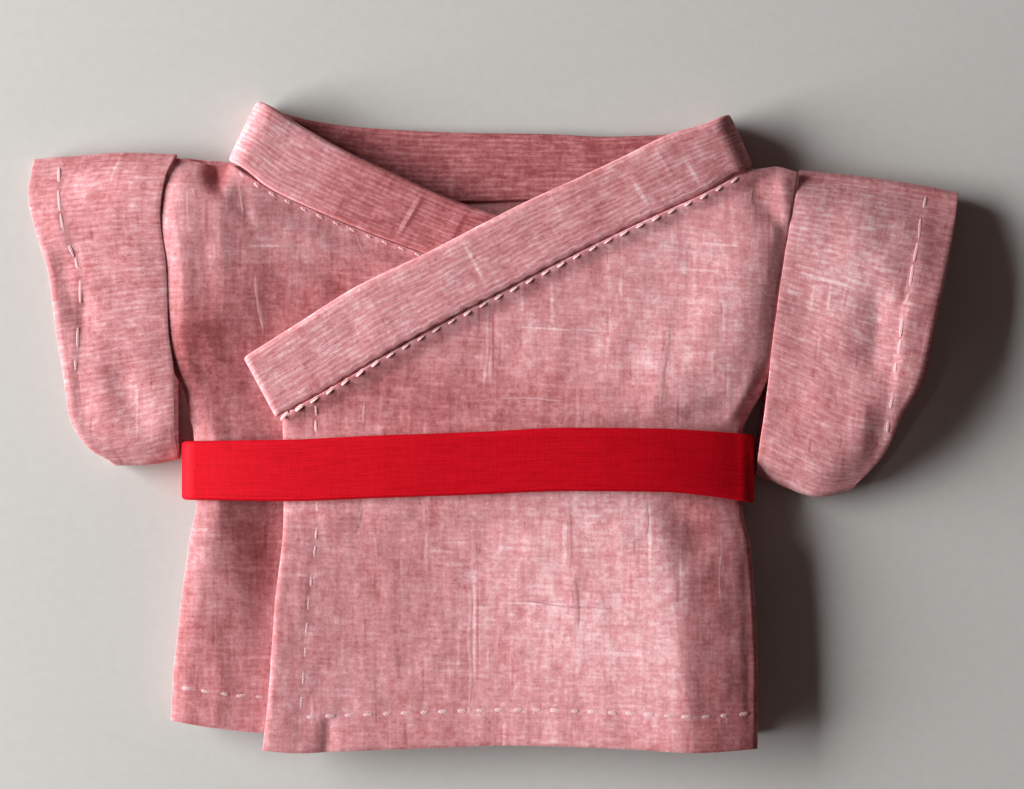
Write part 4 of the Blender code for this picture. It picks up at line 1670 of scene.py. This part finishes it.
@dataclass
class FoldedBand:
    """A long strip folded flat into a narrow tube, which follows two edges."""

    name: str
    map_start: float
    thickness: float
    closed: bool
    flat_steps: int = 18
    edge_steps: int = 6
    edge_share: float = 1.0

    def edges(self) -> tuple[ARRAY, ARRAY]:
        """The band's low and high edges as rows of points, in order along it."""
        raise NotImplementedError

    def frame(self) -> tuple[ARRAY, ARRAY, ARRAY, ARRAY]:
        """The band's middle line and its directions.

        Returns:
            The middle points, the unit directions across and outwards, and the widths.
        """
        low, high = self.edges()
        middle = (low + high) / 2
        if self.closed:
            onward = np.roll(middle, -1, axis=0) - np.roll(middle, 1, axis=0)
        else:
            onward = np.gradient(middle, axis=0)
        across = high - low
        width = np.linalg.norm(across, axis=1)
        across = across / width[:, None]
        out = np.cross(onward, across)
        return middle, across, out / np.linalg.norm(out, axis=1)[:, None], width

    def section(self) -> tuple[ARRAY, ARRAY, ARRAY]:
        """The flattened section, starting at the low edge's side of the outer face.

        Returns:
            For each point, the share across from -1 to 1, and how far it stands out past the straight part
            and out of the middle, both as shares of half the thickness.
        """
        flat = np.linspace(-1, 1, self.flat_steps + 1)
        angles = np.linspace(0, np.pi, self.edge_steps + 1)[1:-1]
        across = np.concatenate([flat, np.ones(len(angles)), flat[::-1], -np.ones(len(angles))])
        past = np.concatenate([np.zeros(len(flat)), np.sin(angles), np.zeros(len(flat)), -np.sin(angles)])
        out = np.concatenate([np.ones(len(flat)), np.cos(angles), -np.ones(len(flat)), -np.cos(angles)])
        return across, past, out

    def closing(self, along_it: ARRAY, whole: float) -> ARRAY:
        """How thick the band is along its length, as a share, so that an open band's ends close.

        Args:
            along_it: distance along the band.
            whole: its whole length.

        Returns:
            The share at each distance.
        """
        if self.closed:
            return np.ones_like(along_it)
        end = np.minimum(along_it, whole - along_it) / (self.thickness / 2)
        return np.sqrt(np.clip(1 - (1 - np.clip(end, 0, 1)) ** 2, 0, 1))

    def lift(self, along_it: ARRAY, across: ARRAY) -> ARRAY:
        """How far the outer face is lifted along the band's own outward direction."""
        return np.zeros(np.broadcast_shapes(along_it.shape, across.shape))

    def build(self, material: bpy.types.Material) -> bpy.types.Object:
        """Makes the band.

        Args:
            material: its finish.

        Returns:
            The piece, standing for its solid.
        """
        middle, across, out, width = self.frame()
        along_it = distances(middle)
        side, past, up = self.section()
        radius = self.thickness / 2 * self.closing(along_it, along_it[-1])[:, None]
        half = width[:, None] / 2 - self.thickness / 2 * self.edge_share
        reach = side[None] * half + past[None] * radius * self.edge_share
        rise = up[None] * radius + (up[None] + 1) / 2 * self.lift(along_it[:, None], side[None])
        points = middle[:, None] + across[:, None] * reach[..., None] + out[:, None] * rise[..., None]
        points = np.concatenate([points, points[:, :1]], axis=1)
        if self.closed:
            points = np.concatenate([points, points[:1]])
            along_it = np.append(along_it, along_it[-1] + np.linalg.norm(middle[0] - middle[-1]))
        ring = np.median(np.linalg.norm(np.diff(points, axis=1), axis=2), axis=0)
        flat = np.stack(np.broadcast_arrays(along_it[:, None], summed(ring)[None]), axis=-1)
        piece = as_object(self.name + "_cloth", tube_sheet(points, flat, self.map_start), material)
        add_wall(piece, self.thickness * BAND_PLY_SHARE, 0.0)
        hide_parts(self.name)
        return piece


def crease_rows(row: BandRow, goes_down: bool, steps: int = 14) -> list[BandRow]:
    """Rows of the collar band round its crease at a shoulder.

    Args:
        row: the crease's line and height.
        goes_down: whether the rows run from the front layer to the back one.
        steps: how many steps the turn has.

    Returns:
        The rows in order.
    """
    run_x = row.free_x - row.seam_x
    run_y = row.free_y - row.seam_y
    length = math.hypot(run_x, run_y)
    side = 1 if row.seam_x > 0 else -1
    out_x = side * run_y / length
    out_y = -side * run_x / length
    low = BAND_WALL / 2
    radius = (row.seam_z - low) / 2
    rows = []
    for step in range(steps + 1):
        angle = math.pi * (0.5 - step / steps)
        shift = radius * (math.cos(angle) - 1) - BAND_WALL / 2
        z = low + radius + radius * math.sin(angle)
        rows.append(
            BandRow(
                row.seam_x + out_x * shift, row.seam_y + out_y * shift, z,
                row.free_x + out_x * shift, row.free_y + out_y * shift, z,
            )
        )
    return rows if goes_down else rows[::-1]


def finer(points: ARRAY, spacing: float, closed: bool = False) -> ARRAY:
    """Rows of values again, closer together on smooth curves.

    Args:
        points: rows of values, whose first three columns and last three are places.
        spacing: the wanted distance between rows.
        closed: whether the last row joins the first.

    Returns:
        The closer rows.
    """
    rows = np.concatenate([points, points[:1]]) if closed else points
    middle = (rows[:, :3] + rows[:, -3:]) / 2
    lengths = distances(middle)
    at = np.linspace(0, lengths[-1], round(lengths[-1] / spacing) + 1)
    finer_rows = np.stack([curve(lengths, rows[:, k], at) for k in range(rows.shape[1])], axis=1)
    return finer_rows[:-1] if closed else finer_rows


@dataclass
class Collar(FoldedBand):
    """The collar band: over end, right shoulder, back of the neck, left shoulder, hidden end."""

    spacing: float = 0.3
    pucker: float = 0.1
    end_shares: tuple[float, ...] = (0.03, 0.12, 0.3, 0.6, 1.0)
    half_width: float = 3.3
    tilt: float = 0.07
    seam_fall: float = 0.04
    seam_run: float = 0.7
    free_fall: float = 0.07
    free_run: float = 0.8
    rumple: Rumple = Rumple(0.02, 4.0, 11.0, 5)
    rumple_width: float = 3.5

    def edges(self) -> tuple[ARRAY, ARRAY]:
        """The seam edge and the free edge along the band."""
        right, left = crease_rows(RIGHT_CREASE, True), crease_rows(LEFT_CREASE, False)
        close = finer(np.array([*OVER_BAND, *right, *BACK_BAND, *left, *UNDER_BAND]), self.spacing)
        ends = (BAND_WALL / 2) * np.array(self.end_shares)
        step = np.linalg.norm(close[1, :3] - close[0, :3])
        first = close[0] + (close[1] - close[0]) * (ends / step)[:, None]
        last = close[-1] + (close[-2] - close[-1]) * (ends[::-1] / step)[:, None]
        close = np.concatenate([close[:1], first, close[3:-3], last, close[-1:]])
        low, high = close[:, :3], close[:, 3:]
        sewn = np.arange(len(low)) < np.argmax(low[:, 0])
        pull = self.pucker / 2 * (1 - np.cos(math.tau * distances(low[:, :2]) / COLLAR_PITCH)) * sewn
        inward = (high - low) / np.linalg.norm(high - low, axis=1)[:, None]
        return low + inward * pull[:, None], high

    def lift(self, along_it: ARRAY, across: ARRAY) -> ARRAY:
        """A slight unevenness, with the face falling off softly towards the seam and the free edge.

        Args:
            along_it: distance along the band.
            across: place across from -1 at the seam to 1 at the free edge.

        Returns:
            The lift of the outer face.
        """
        place = np.broadcast_arrays(along_it, across * self.rumple_width)
        uneven = self.rumple.lift(*place) * (1 - across**2)
        to_seam = self.seam_fall * (1 - ease((across + 1) * self.half_width / self.seam_run))
        to_free = self.free_fall * (1 - ease((1 - across) * self.half_width / self.free_run))
        return uneven - self.tilt * (1 - across) - to_seam - to_free


@dataclass
class Belt(FoldedBand):
    """The belt, a closed loop round the body."""

    spacing: float = 0.45
    front_steps: int = 60
    back_steps: int = 30
    corner_steps: int = 6

    def front_height(self, x: ARRAY) -> ARRAY:
        """Middle of the belt's thickness on the front."""
        return column(BELT_TOPS, "x", "z", x) - self.thickness / 2

    def loop(self) -> ARRAY:
        """Places x and z of the belt's middle: along the front to the right, and back underneath."""
        low = self.thickness / 2
        left, right = BELT_LEFT - BELT_OUT + BELT_CORNER, BELT_RIGHT + BELT_OUT - BELT_CORNER
        front_x = np.linspace(left, right, self.front_steps)
        back_x = np.linspace(right, left, self.back_steps)

        def corner(start: float, x: float, z: float) -> ARRAY:
            """Points round a quarter turn."""
            angles = start - np.linspace(0, np.pi / 2, self.corner_steps + 1)[1:-1]
            return np.stack([x + BELT_CORNER * np.cos(angles), z + BELT_CORNER * np.sin(angles)], axis=1)

        height = self.front_height(front_x)
        turn_low, right_high, left_high = low + BELT_CORNER, height[-1] - BELT_CORNER, height[0] - BELT_CORNER
        return np.concatenate([
            np.stack([front_x, height], axis=1),
            corner(np.pi / 2, right, right_high), [[right + BELT_CORNER, right_high]],
            [[right + BELT_CORNER, turn_low]], corner(0, right, turn_low),
            np.stack([back_x, np.full_like(back_x, low)], axis=1),
            corner(-np.pi / 2, left, turn_low), [[left - BELT_CORNER, turn_low]],
            [[left - BELT_CORNER, left_high]], corner(np.pi, left, left_high),
        ])

    def edges(self) -> tuple[ARRAY, ARRAY]:
        """The belt's lower and upper edges round the loop."""
        loop = self.loop()
        line = column(BELT_ROWS, "x", "line", loop[:, 0])
        half = column(BELT_ROWS, "x", "width", loop[:, 0]) / 2
        low = np.stack([loop[:, 0], line - half, loop[:, 1]], axis=1)
        high = np.stack([loop[:, 0], line + half, loop[:, 1]], axis=1)
        close = finer(np.concatenate([low, high], axis=1), self.spacing, closed=True)
        return close[:, :3], close[:, 3:]


@dataclass(frozen=True)
class Stitch:
    """One kind of stitch: its length and thread, its slant in degrees, and how it lies on the cloth."""

    length: float
    thread: float
    slant: float = 0.0
    lift: float = 0.0
    roundness: float = 0.2
    sink: float = 0.09
    bluntness: float = 0.75
    uneven_slant: float = 3.0
    uneven_length: float = 0.07
    uneven_thread: float = 0.08


HEM_STITCH_OVER = Stitch(1.45, 0.5, lift=-0.01)
HEM_STITCH_UNDER = Stitch(1.5, 0.46, lift=-0.01)
EDGE_STITCH = Stitch(2.4, 0.3, roundness=0.1, sink=0.05)
CUFF_STITCH = Stitch(2.5, 0.34, roundness=0.06, sink=0.03)
COLLAR_STITCH_OVER = Stitch(1.2, 0.5, slant=17.0, lift=-0.02, roundness=0.18, sink=0.04)
COLLAR_STITCH_UNDER = Stitch(1.0, 0.5, slant=-10.0, lift=-0.02, roundness=0.18, sink=0.04)


@dataclass
class StitchRun:
    """A line of stitches: short lengths of thread lying on the cloth."""

    name: str
    points: ARRAY
    normals: ARRAY
    kind: Stitch
    seed: int

    def build(self, material: bpy.types.Material) -> bpy.types.Object:
        """Makes the stitches.

        Args:
            material: the thread's finish.

        Returns:
            The piece.
        """
        kind, chance = self.kind, np.random.default_rng(self.seed)
        run = np.gradient(self.points, axis=0)
        run /= np.linalg.norm(run, axis=1)[:, None]
        stitches = bmesh.new()
        flat_map = stitches.loops.layers.uv.new("cloth")
        for place, onward, out in zip(self.points, run, self.normals):
            side = np.cross(out, onward)
            turn = math.radians(kind.slant + chance.normal(0, kind.uneven_slant))
            heading = onward * math.cos(turn) + side * math.sin(turn)
            beside = np.cross(out, heading)
            half = kind.length / 2 * (1 + chance.normal(0, kind.uneven_length))
            thick = kind.thread / 2 * (1 + chance.normal(0, kind.uneven_thread))
            made = bmesh.ops.create_uvsphere(stitches, u_segments=8, v_segments=7, radius=1.0)
            for vert in made["verts"]:
                across, beside_it, along_it = vert.co
                reach = math.copysign(abs(along_it) ** kind.bluntness, along_it)
                height = beside_it * thick * kind.roundness + kind.lift - kind.sink * abs(reach) ** 4
                vert.co = (place + heading * reach * half + beside * across * thick + out * height) * MM
            for face in {face for vert in made["verts"] for face in vert.link_faces}:
                for loop in face.loops:
                    offset = np.array(loop.vert.co) / MM - place
                    loop[flat_map].uv = (offset @ heading * UV_PER_MM, offset @ beside * UV_PER_MM)
        bmesh.ops.recalc_face_normals(stitches, faces=stitches.faces)
        return as_object(self.name, stitches, material)


def spaced_places(start: float, end: float, pitch: float) -> ARRAY:
    """Even places between two ends, half a step in from each."""
    count = max(1, round(abs(end - start) / pitch))
    return start + (end - start) * (np.arange(count) + 0.5) / count


def face_normals(height: Callable[[ARRAY, ARRAY], ARRAY], x: ARRAY, y: ARRAY) -> ARRAY:
    """Unit normals of a height field at some points."""
    step = 0.3
    slope_x = (height(x + step, y) - height(x - step, y)) / (2 * step)
    slope_y = (height(x, y + step) - height(x, y - step)) / (2 * step)
    normal = np.stack([-slope_x, -slope_y, np.ones_like(slope_x)], axis=1)
    return normal / np.linalg.norm(normal, axis=1)[:, None]


@dataclass
class Sewing:
    """Every visible line of stitches on the garment."""

    over: OverFront
    under: UnderFront
    sleeves: Sequence[Sleeve]
    thread: bpy.types.Material
    made: list[bpy.types.Object] = field(default_factory=list)

    def add(self, name: str, points: ARRAY, normals: ARRAY, kind: Stitch, seed: int) -> None:
        """Sews a run of stitches.

        Args:
            name: the run's name.
            points: the middle of each stitch.
            normals: the cloth's outward direction at each.
            kind: the kind of stitch.
            seed: where its unevenness starts.
        """
        self.made.append(StitchRun(name, points, normals, kind, seed).build(self.thread))

    def on_panel(self, name: str, panel: BodyPanel, x: ARRAY, y: ARRAY, kind: Stitch, seed: int) -> None:
        """Sews a run of stitches onto a panel's upper face.

        Args:
            name: the run's name.
            panel: the panel.
            x: places across.
            y: places along.
            kind: the kind of stitch.
            seed: where its unevenness starts.
        """
        points = np.stack([x, y, panel.top_face(x, y)], axis=1)
        self.add(name, points, face_normals(panel.top_face, x, y), kind, seed)

    def hems(self) -> None:
        """Sews the hems of the two fronts and the free edge of the over front."""
        for name, panel, left, right, kind, seed in (
            ("hem_stitches_over", self.over, -20.6, 27.6, HEM_STITCH_OVER, 2),
            ("hem_stitches_under", self.under, -34.0, -24.4, HEM_STITCH_UNDER, 3),
        ):
            x = spaced_places(left, right, HEM_PITCH)
            self.on_panel(name, panel, x, column(panel.hem, "x", "y", x) + HEM_DEPTH, kind, seed)
        y = spaced_places(-31.0, 3.4, EDGE_PITCH)
        self.on_panel("edge_stitches_over", self.over, x_on(OVER_EDGE, y) + EDGE_HEM_DEPTH, y, EDGE_STITCH, 4)

    def cuffs(self) -> None:
        """Sews the cuffs of both sleeves on the front."""
        aside, samples, first_seed = 0.01, 400, 20
        for number, sleeve in enumerate(self.sleeves):
            down = np.linspace(0.0, sleeve.sewn[-1].down, samples)
            out = 1 - column(sleeve.sewn, "down", "value", down) / sleeve.length_out(down)
            lengths = distances(np.stack(sleeve.front(down, out), axis=1))
            at = spaced_places(0, lengths[-1], CUFF_PITCH)
            down, out = np.interp(at, lengths, down), np.interp(at, lengths, out)
            points = np.stack(sleeve.front(down, out), axis=1)
            onward = np.stack(sleeve.front(down + aside, out), axis=1) - points
            outward = np.stack(sleeve.front(down, out + aside), axis=1) - points
            normals = np.cross(outward, onward)
            normals *= np.sign(normals[:, 2:])
            normals /= np.linalg.norm(normals, axis=1)[:, None]
            name, points = f"cuff_stitches_{number}", points + normals * WALL / 2
            self.add(name, points, normals, CUFF_STITCH, first_seed + number)

    def collar(self) -> None:
        """Sews the collar's seam edge down on both fronts, with slanting stitches."""
        for name, panel, rows, start, end, sideways, kind in (
            ("collar_stitches_over", self.over, OVER_SEAM, 0.0, 0.97, 0.22, COLLAR_STITCH_OVER),
            ("collar_stitches_under", self.under, UNDER_SEAM, 0.03, 0.64, 0.26, COLLAR_STITCH_UNDER),
        ):
            line = np.array(sorted(rows))
            lengths = distances(line)
            whole = lengths[-1]
            at = start * whole + (np.arange(round(whole * (end - start) / COLLAR_PITCH)) + 0.5) * COLLAR_PITCH
            here, ahead = (
                np.stack([curve(lengths, line[:, axis], place) for axis in (0, 1)], axis=1)
                for place in (at, at + SEAM_AHEAD)
            )
            run = ahead - here
            run /= np.linalg.norm(run, axis=1)[:, None]
            x, y = here[:, 0] + run[:, 1] * sideways, here[:, 1] - run[:, 0] * sideways
            self.on_panel(name, panel, x, y, kind, 30)


class SlubRow(NamedTuple):
    """A thick place in one yarn, from end to end, and its width."""

    x_start: float
    y_start: float
    x_end: float
    y_end: float
    width: float


@dataclass
class SlubYarns:
    """Thick places in single yarns, which swell a little out of a panel's upper face."""

    name: str
    panel: BodyPanel
    rows: Sequence[SlubRow]
    steps: tuple[int, int] = (6, 26)
    swell: float = 0.036
    bury: float = 0.006
    taper: float = 0.7
    uneven: float = 0.22
    uneven_rate: float = 1.7
    sway: float = 0.1
    sway_rate: float = 0.8
    sway_step: float = 2.3

    def build(self, material: bpy.types.Material) -> bpy.types.Object:
        """Makes the yarns.

        Args:
            material: their finish.

        Returns:
            The piece.
        """
        yarns = bmesh.new()
        flat_map = yarns.loops.layers.uv.new("cloth")
        for number, row in enumerate(self.rows):
            grid = bmesh.ops.create_grid(yarns, x_segments=self.steps[0], y_segments=self.steps[1], size=0.5)
            made = grid["verts"]
            spots = np.array([vert.co[:2] for vert in made])
            side, share = spots[:, 0] * 2, spots[:, 1] + 0.5
            run = np.array([row.x_end - row.x_start, row.y_end - row.y_start])
            length = np.hypot(*run)
            run /= length
            taper = np.sin(np.pi * np.clip(share, 0.0, 1.0)) ** self.taper
            uneven = 1 + self.uneven * np.sin(share * length * self.uneven_rate + number)
            sway = self.sway * np.sin(share * length * self.sway_rate + number * self.sway_step)
            across = side * row.width / 2 * taper * uneven + sway
            x = row.x_start + run[0] * share * length + run[1] * across
            y = row.y_start + run[1] * share * length - run[0] * across
            z = self.panel.top_face(x, y) + self.swell * row.width * taper * (1 - side**2) - self.bury
            flat = np.stack([x, y + self.panel.grain(y) * x], axis=1) + self.panel.map_start
            yarns.verts.index_update()
            first = made[0].index
            for vert, place in zip(made, np.stack([x, y, z], axis=1) * MM):
                vert.co = place
            for face in {face for vert in made for face in vert.link_faces}:
                for loop in face.loops:
                    loop[flat_map].uv = flat[loop.vert.index - first] * UV_PER_MM
        yarns.normal_update()
        return as_object(self.name, yarns, material)


@dataclass
class Studio:
    """The camera, the lights and the surface below the garment."""

    pixel: float = 0.1075
    middle_px: tuple[float, float] = (494.5, 425.5)
    image_px: tuple[int, int] = (1024, 789)
    lens: float = 90.0
    sensor: float = 36.0
    garment_height: float = 4.0
    window_place: tuple[float, float, float] = (-0.56, 0.05, 0.2)
    window_size: tuple[float, float] = (0.55, 0.32)
    window_watts: float = 11.6
    window_tint: tuple[float, float, float] = (1.0, 0.985, 0.965)
    room_tint: tuple[float, float, float, float] = (1.0, 0.66, 0.6, 1.0)
    room_strength: float = 0.07
    table_half: float = 1.5

    def camera(self) -> None:
        """Makes the camera straight above, framed as the photograph is."""
        data = bpy.data.cameras.new("camera")
        data.lens = self.lens
        data.sensor_width = self.sensor
        width = self.image_px[0] * self.pixel
        distance = width * self.lens / self.sensor
        x = (self.image_px[0] / 2 - self.middle_px[0]) * self.pixel
        y = (self.middle_px[1] - self.image_px[1] / 2) * self.pixel
        camera = bpy.data.objects.new("camera", data)
        camera.location = (x * MM, y * MM, (distance + self.garment_height) * MM)
        data.clip_start, data.clip_end = 0.01, 10.0
        bpy.context.scene.collection.objects.link(camera)
        bpy.context.scene.camera = camera

    def window(self) -> None:
        """Makes the window: a soft oblong light that faces the garment, placed in metres."""
        data = bpy.data.lights.new("window", "AREA")
        data.shape = "RECTANGLE"
        data.size, data.size_y = self.window_size
        data.energy = self.window_watts
        data.color = self.window_tint
        lamp = bpy.data.objects.new("window", data)
        lamp.location = self.window_place
        lamp.rotation_euler = (-Vector(self.window_place)).to_track_quat("-Z", "Y").to_euler()
        bpy.context.scene.collection.objects.link(lamp)

    def room(self) -> None:
        """Makes the soft light of the room."""
        world = bpy.data.worlds.new("room")
        world.use_nodes = True
        Nodes(world.node_tree).fill(
            world.node_tree.nodes["Background"], {"Color": self.room_tint, "Strength": self.room_strength},
        )
        bpy.context.scene.world = world

    def table(self) -> None:
        """Makes the surface that the garment lies on."""
        sheet = bmesh.new()
        bmesh.ops.create_grid(sheet, x_segments=1, y_segments=1, size=self.table_half)
        mesh = bpy.data.meshes.new("tabletop")
        sheet.to_mesh(mesh)
        sheet.free()
        mesh.materials.append(Tabletop("tabletop").material())
        table = bpy.data.objects.new("tabletop", mesh)
        bpy.context.scene.collection.objects.link(table)

    def build(self) -> None:
        """Makes the whole studio."""
        self.camera()
        self.window()
        self.room()
        self.table()
        scene = bpy.context.scene
        scene.view_settings.view_transform = "Standard"
        scene.cycles.use_denoising = True


# Thick yarns that stand out of the fronts
OVER_SLUBS = rows_of(
    SlubRow, (-0.4, 13.7, -1.1, 3.3, 0.6), (18.8, 11.9, 17.5, 0.8, 0.75), (27.9, 26.9, 27.4, 23.6, 0.5),
    (-14.0, -8.1, -14.5, -10.9, 0.5), (-7.5, -8.0, -7.6, -11.9, 0.5), (-2.0, -12.4, -2.2, -16.2, 0.5),
    (-2.6, -14.5, -2.6, -33.8, 0.6), (8.5, -16.2, 9.1, -22.0, 0.7), (8.2, -7.5, 8.0, -16.0, 0.5),
    (16.5, -7.5, 16.0, -12.6, 0.45), (24.2, -12.0, 24.2, -20.0, 0.45), (0.0, 11.1, 13.1, 9.9, 0.3),
    (15.1, 19.9, 29.7, 17.6, 0.32), (18.0, 21.5, 27.9, 19.9, 0.3), (-1.6, 3.0, 9.4, 2.7, 0.3),
    (1.7, -18.8, 13.8, -19.8, 0.32), (-13.9, 3.5, -14.0, -0.6, 0.35),
)
UNDER_SLUBS = rows_of(
    SlubRow, (-25.7, 16.6, -24.9, 9.4, 0.6), (-27.4, 25.7, -26.9, 22.0, 0.55),
    (-15.1, 20.8, -14.0, 18.3, 0.5), (-32.8, 25.9, -32.8, 21.5, 0.45),
)


def right_sleeve() -> Sleeve:
    """The wearer's right sleeve, on the viewer's left."""
    return Sleeve(
        "sleeve_right", 500.0,
        armhole=rows_of(
            Point, (-34.5, 28.9), (-35.4, 26.5), (-35.9, 22.5), (-35.3, 17.5), (-35.0, 10.0), (-34.4, 5.0),
            (-34.4, 0.0), (-34.3, -3.2),
        ),
        cuff=rows_of(
            Point, (-49.8, 28.4), (-50.2, 25.0), (-49.3, 21.0), (-48.0, 16.3), (-47.4, 11.0), (-46.2, 5.0),
            (-45.6, 0.8), (-43.6, -2.4), (-41.0, -3.9),
        ),
        top=rows_of(Point, (-34.5, 28.9), (-40.0, 29.1), (-46.0, 28.7), (-49.8, 28.4)),
        bottom=rows_of(Point, (-34.3, -3.2), (-37.5, -3.8), (-41.0, -3.9)),
        rows=rows_of(SleeveRow, (0.0, 4.28, 0.0), (0.25, 4.38, 0.0), (0.6, 4.33, 0.1), (1.0, 4.25, 1.0)),
        leans=rows_of(DownRow, (0.0, 0.0), (0.3, 0.25), (0.5, 0.45), (0.7, 0.2), (1.0, 0.0)),
        sewn=rows_of(
            DownRow, (0.0, 3.2), (0.11, 3.3), (0.22, 2.9), (0.31, 3.2), (0.39, 3.3), (0.46, 2.9), (0.6, 1.9),
            (0.68, 1.0),
        ),
        folds=(
            Fold(-46.2, 17.5, -44.6, 12.0, 1.6, -0.3),
            Fold(-40.0, 4.5, -37.5, -1.0, 1.6, -0.2),
            Fold(-42.3, 8.0, -42.0, 1.0, 1.8, 0.15),
        ),
        rumple=Rumple(0.03, 3.0, 9.0, 41),
    )


def left_sleeve() -> Sleeve:
    """The wearer's left sleeve, on the viewer's right."""
    return Sleeve(
        "sleeve_left", 700.0,
        armhole=rows_of(
            Point, (33.0, 27.2), (31.9, 22.5), (31.2, 18.5), (30.5, 14.0), (29.9, 9.5), (29.4, 5.0),
            (28.9, 1.0), (28.5, -2.0), (28.4, -4.9),
        ),
        cuff=rows_of(
            Point, (50.1, 24.8), (49.45, 20.5), (48.8, 15.5), (47.9, 10.0), (46.95, 5.3), (46.2, 3.6),
            (44.3, 0.9), (42.1, -2.6), (38.6, -6.6),
        ),
        top=rows_of(Point, (33.0, 27.2), (40.0, 26.5), (46.5, 25.5), (50.1, 24.8)),
        bottom=rows_of(Point, (28.4, -4.9), (31.5, -6.2), (35.0, -7.3), (38.6, -6.6)),
        rows=rows_of(
            SleeveRow, (0.0, 4.88, 0.0), (0.2, 4.95, 0.0), (0.45, 5.22, 0.15), (0.6, 5.26, 0.3),
            (0.78, 5.3, 0.6), (1.0, 5.16, 1.0),
        ),
        leans=rows_of(
            DownRow, (0.0, 0.0), (0.12, -0.35), (0.28, -0.9), (0.5, -1.3), (0.66, -1.4), (0.78, -0.7),
            (0.9, -0.1), (1.0, 0.0),
        ),
        sewn=rows_of(
            DownRow, (0.0, 3.4), (0.09, 3.7), (0.44, 3.7), (0.5, 3.4), (0.59, 3.2), (0.67, 2.1), (0.76, 1.1),
            (0.8, 0.8),
        ),
        slope=0.1,
        folds=(
            Crease(40.6, 4.2, 41.0, 15.4, 1.6, 1.0, -0.32, crest=0.6),
            Crease(38.8, -7.2, 39.6, 3.4, 2.2, 0.9, 0.3, fade_start=0.0, crest=0.5),
        ),
        rumple=Rumple(0.025, 3.0, 9.0, 43),
    )


def main() -> None:
    """Builds the garment and its studio, piece by piece."""
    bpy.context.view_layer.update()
    Studio().build()
    finishes = Wardrobe.make()
    back_top = [Point(point.x, point.y + BACK_TUCK) for point in BACK_TOP]
    back = Back("back", 300.0, BACK_HEM, back_top, (96, 100), ply=BACK_PLY)
    under = UnderFront("front_right", 120.0, UNDER_HEM, UNDER_TOP, (160, 190))
    over = OverFront("front_left", 0.0, OVER_HEM, OVER_TOP, (176, 200))
    sleeve_right, sleeve_left = right_sleeve(), left_sleeve()
    collar = Collar("collar", 900.0, BAND_WALL, closed=False, edge_share=0.5)
    belt = Belt("belt", 1200.0, BELT_PLY, closed=True, flat_steps=14)

    for part, finish in (
        (back, finishes.body), (under, finishes.body), (over, finishes.body), (sleeve_right, finishes.sleeve),
        (sleeve_left, finishes.sleeve), (collar, finishes.band), (belt, finishes.tape),
    ):
        part.build(finish)

    sewing = Sewing(over, under, (sleeve_right, sleeve_left), finishes.thread)
    sewing.hems()
    sewing.cuffs()
    sewing.collar()
    for run in sewing.made:
        log.info("%s: %d faces", run.name, len(run.data.polygons))

    for name, panel, rows in (("slubs_over", over, OVER_SLUBS), ("slubs_under", under, UNDER_SLUBS)):
        SlubYarns(name, panel, rows).build(finishes.slub)
        log.info("%s: %d yarns", name, len(rows))


if __name__ == "__main__":
    main()
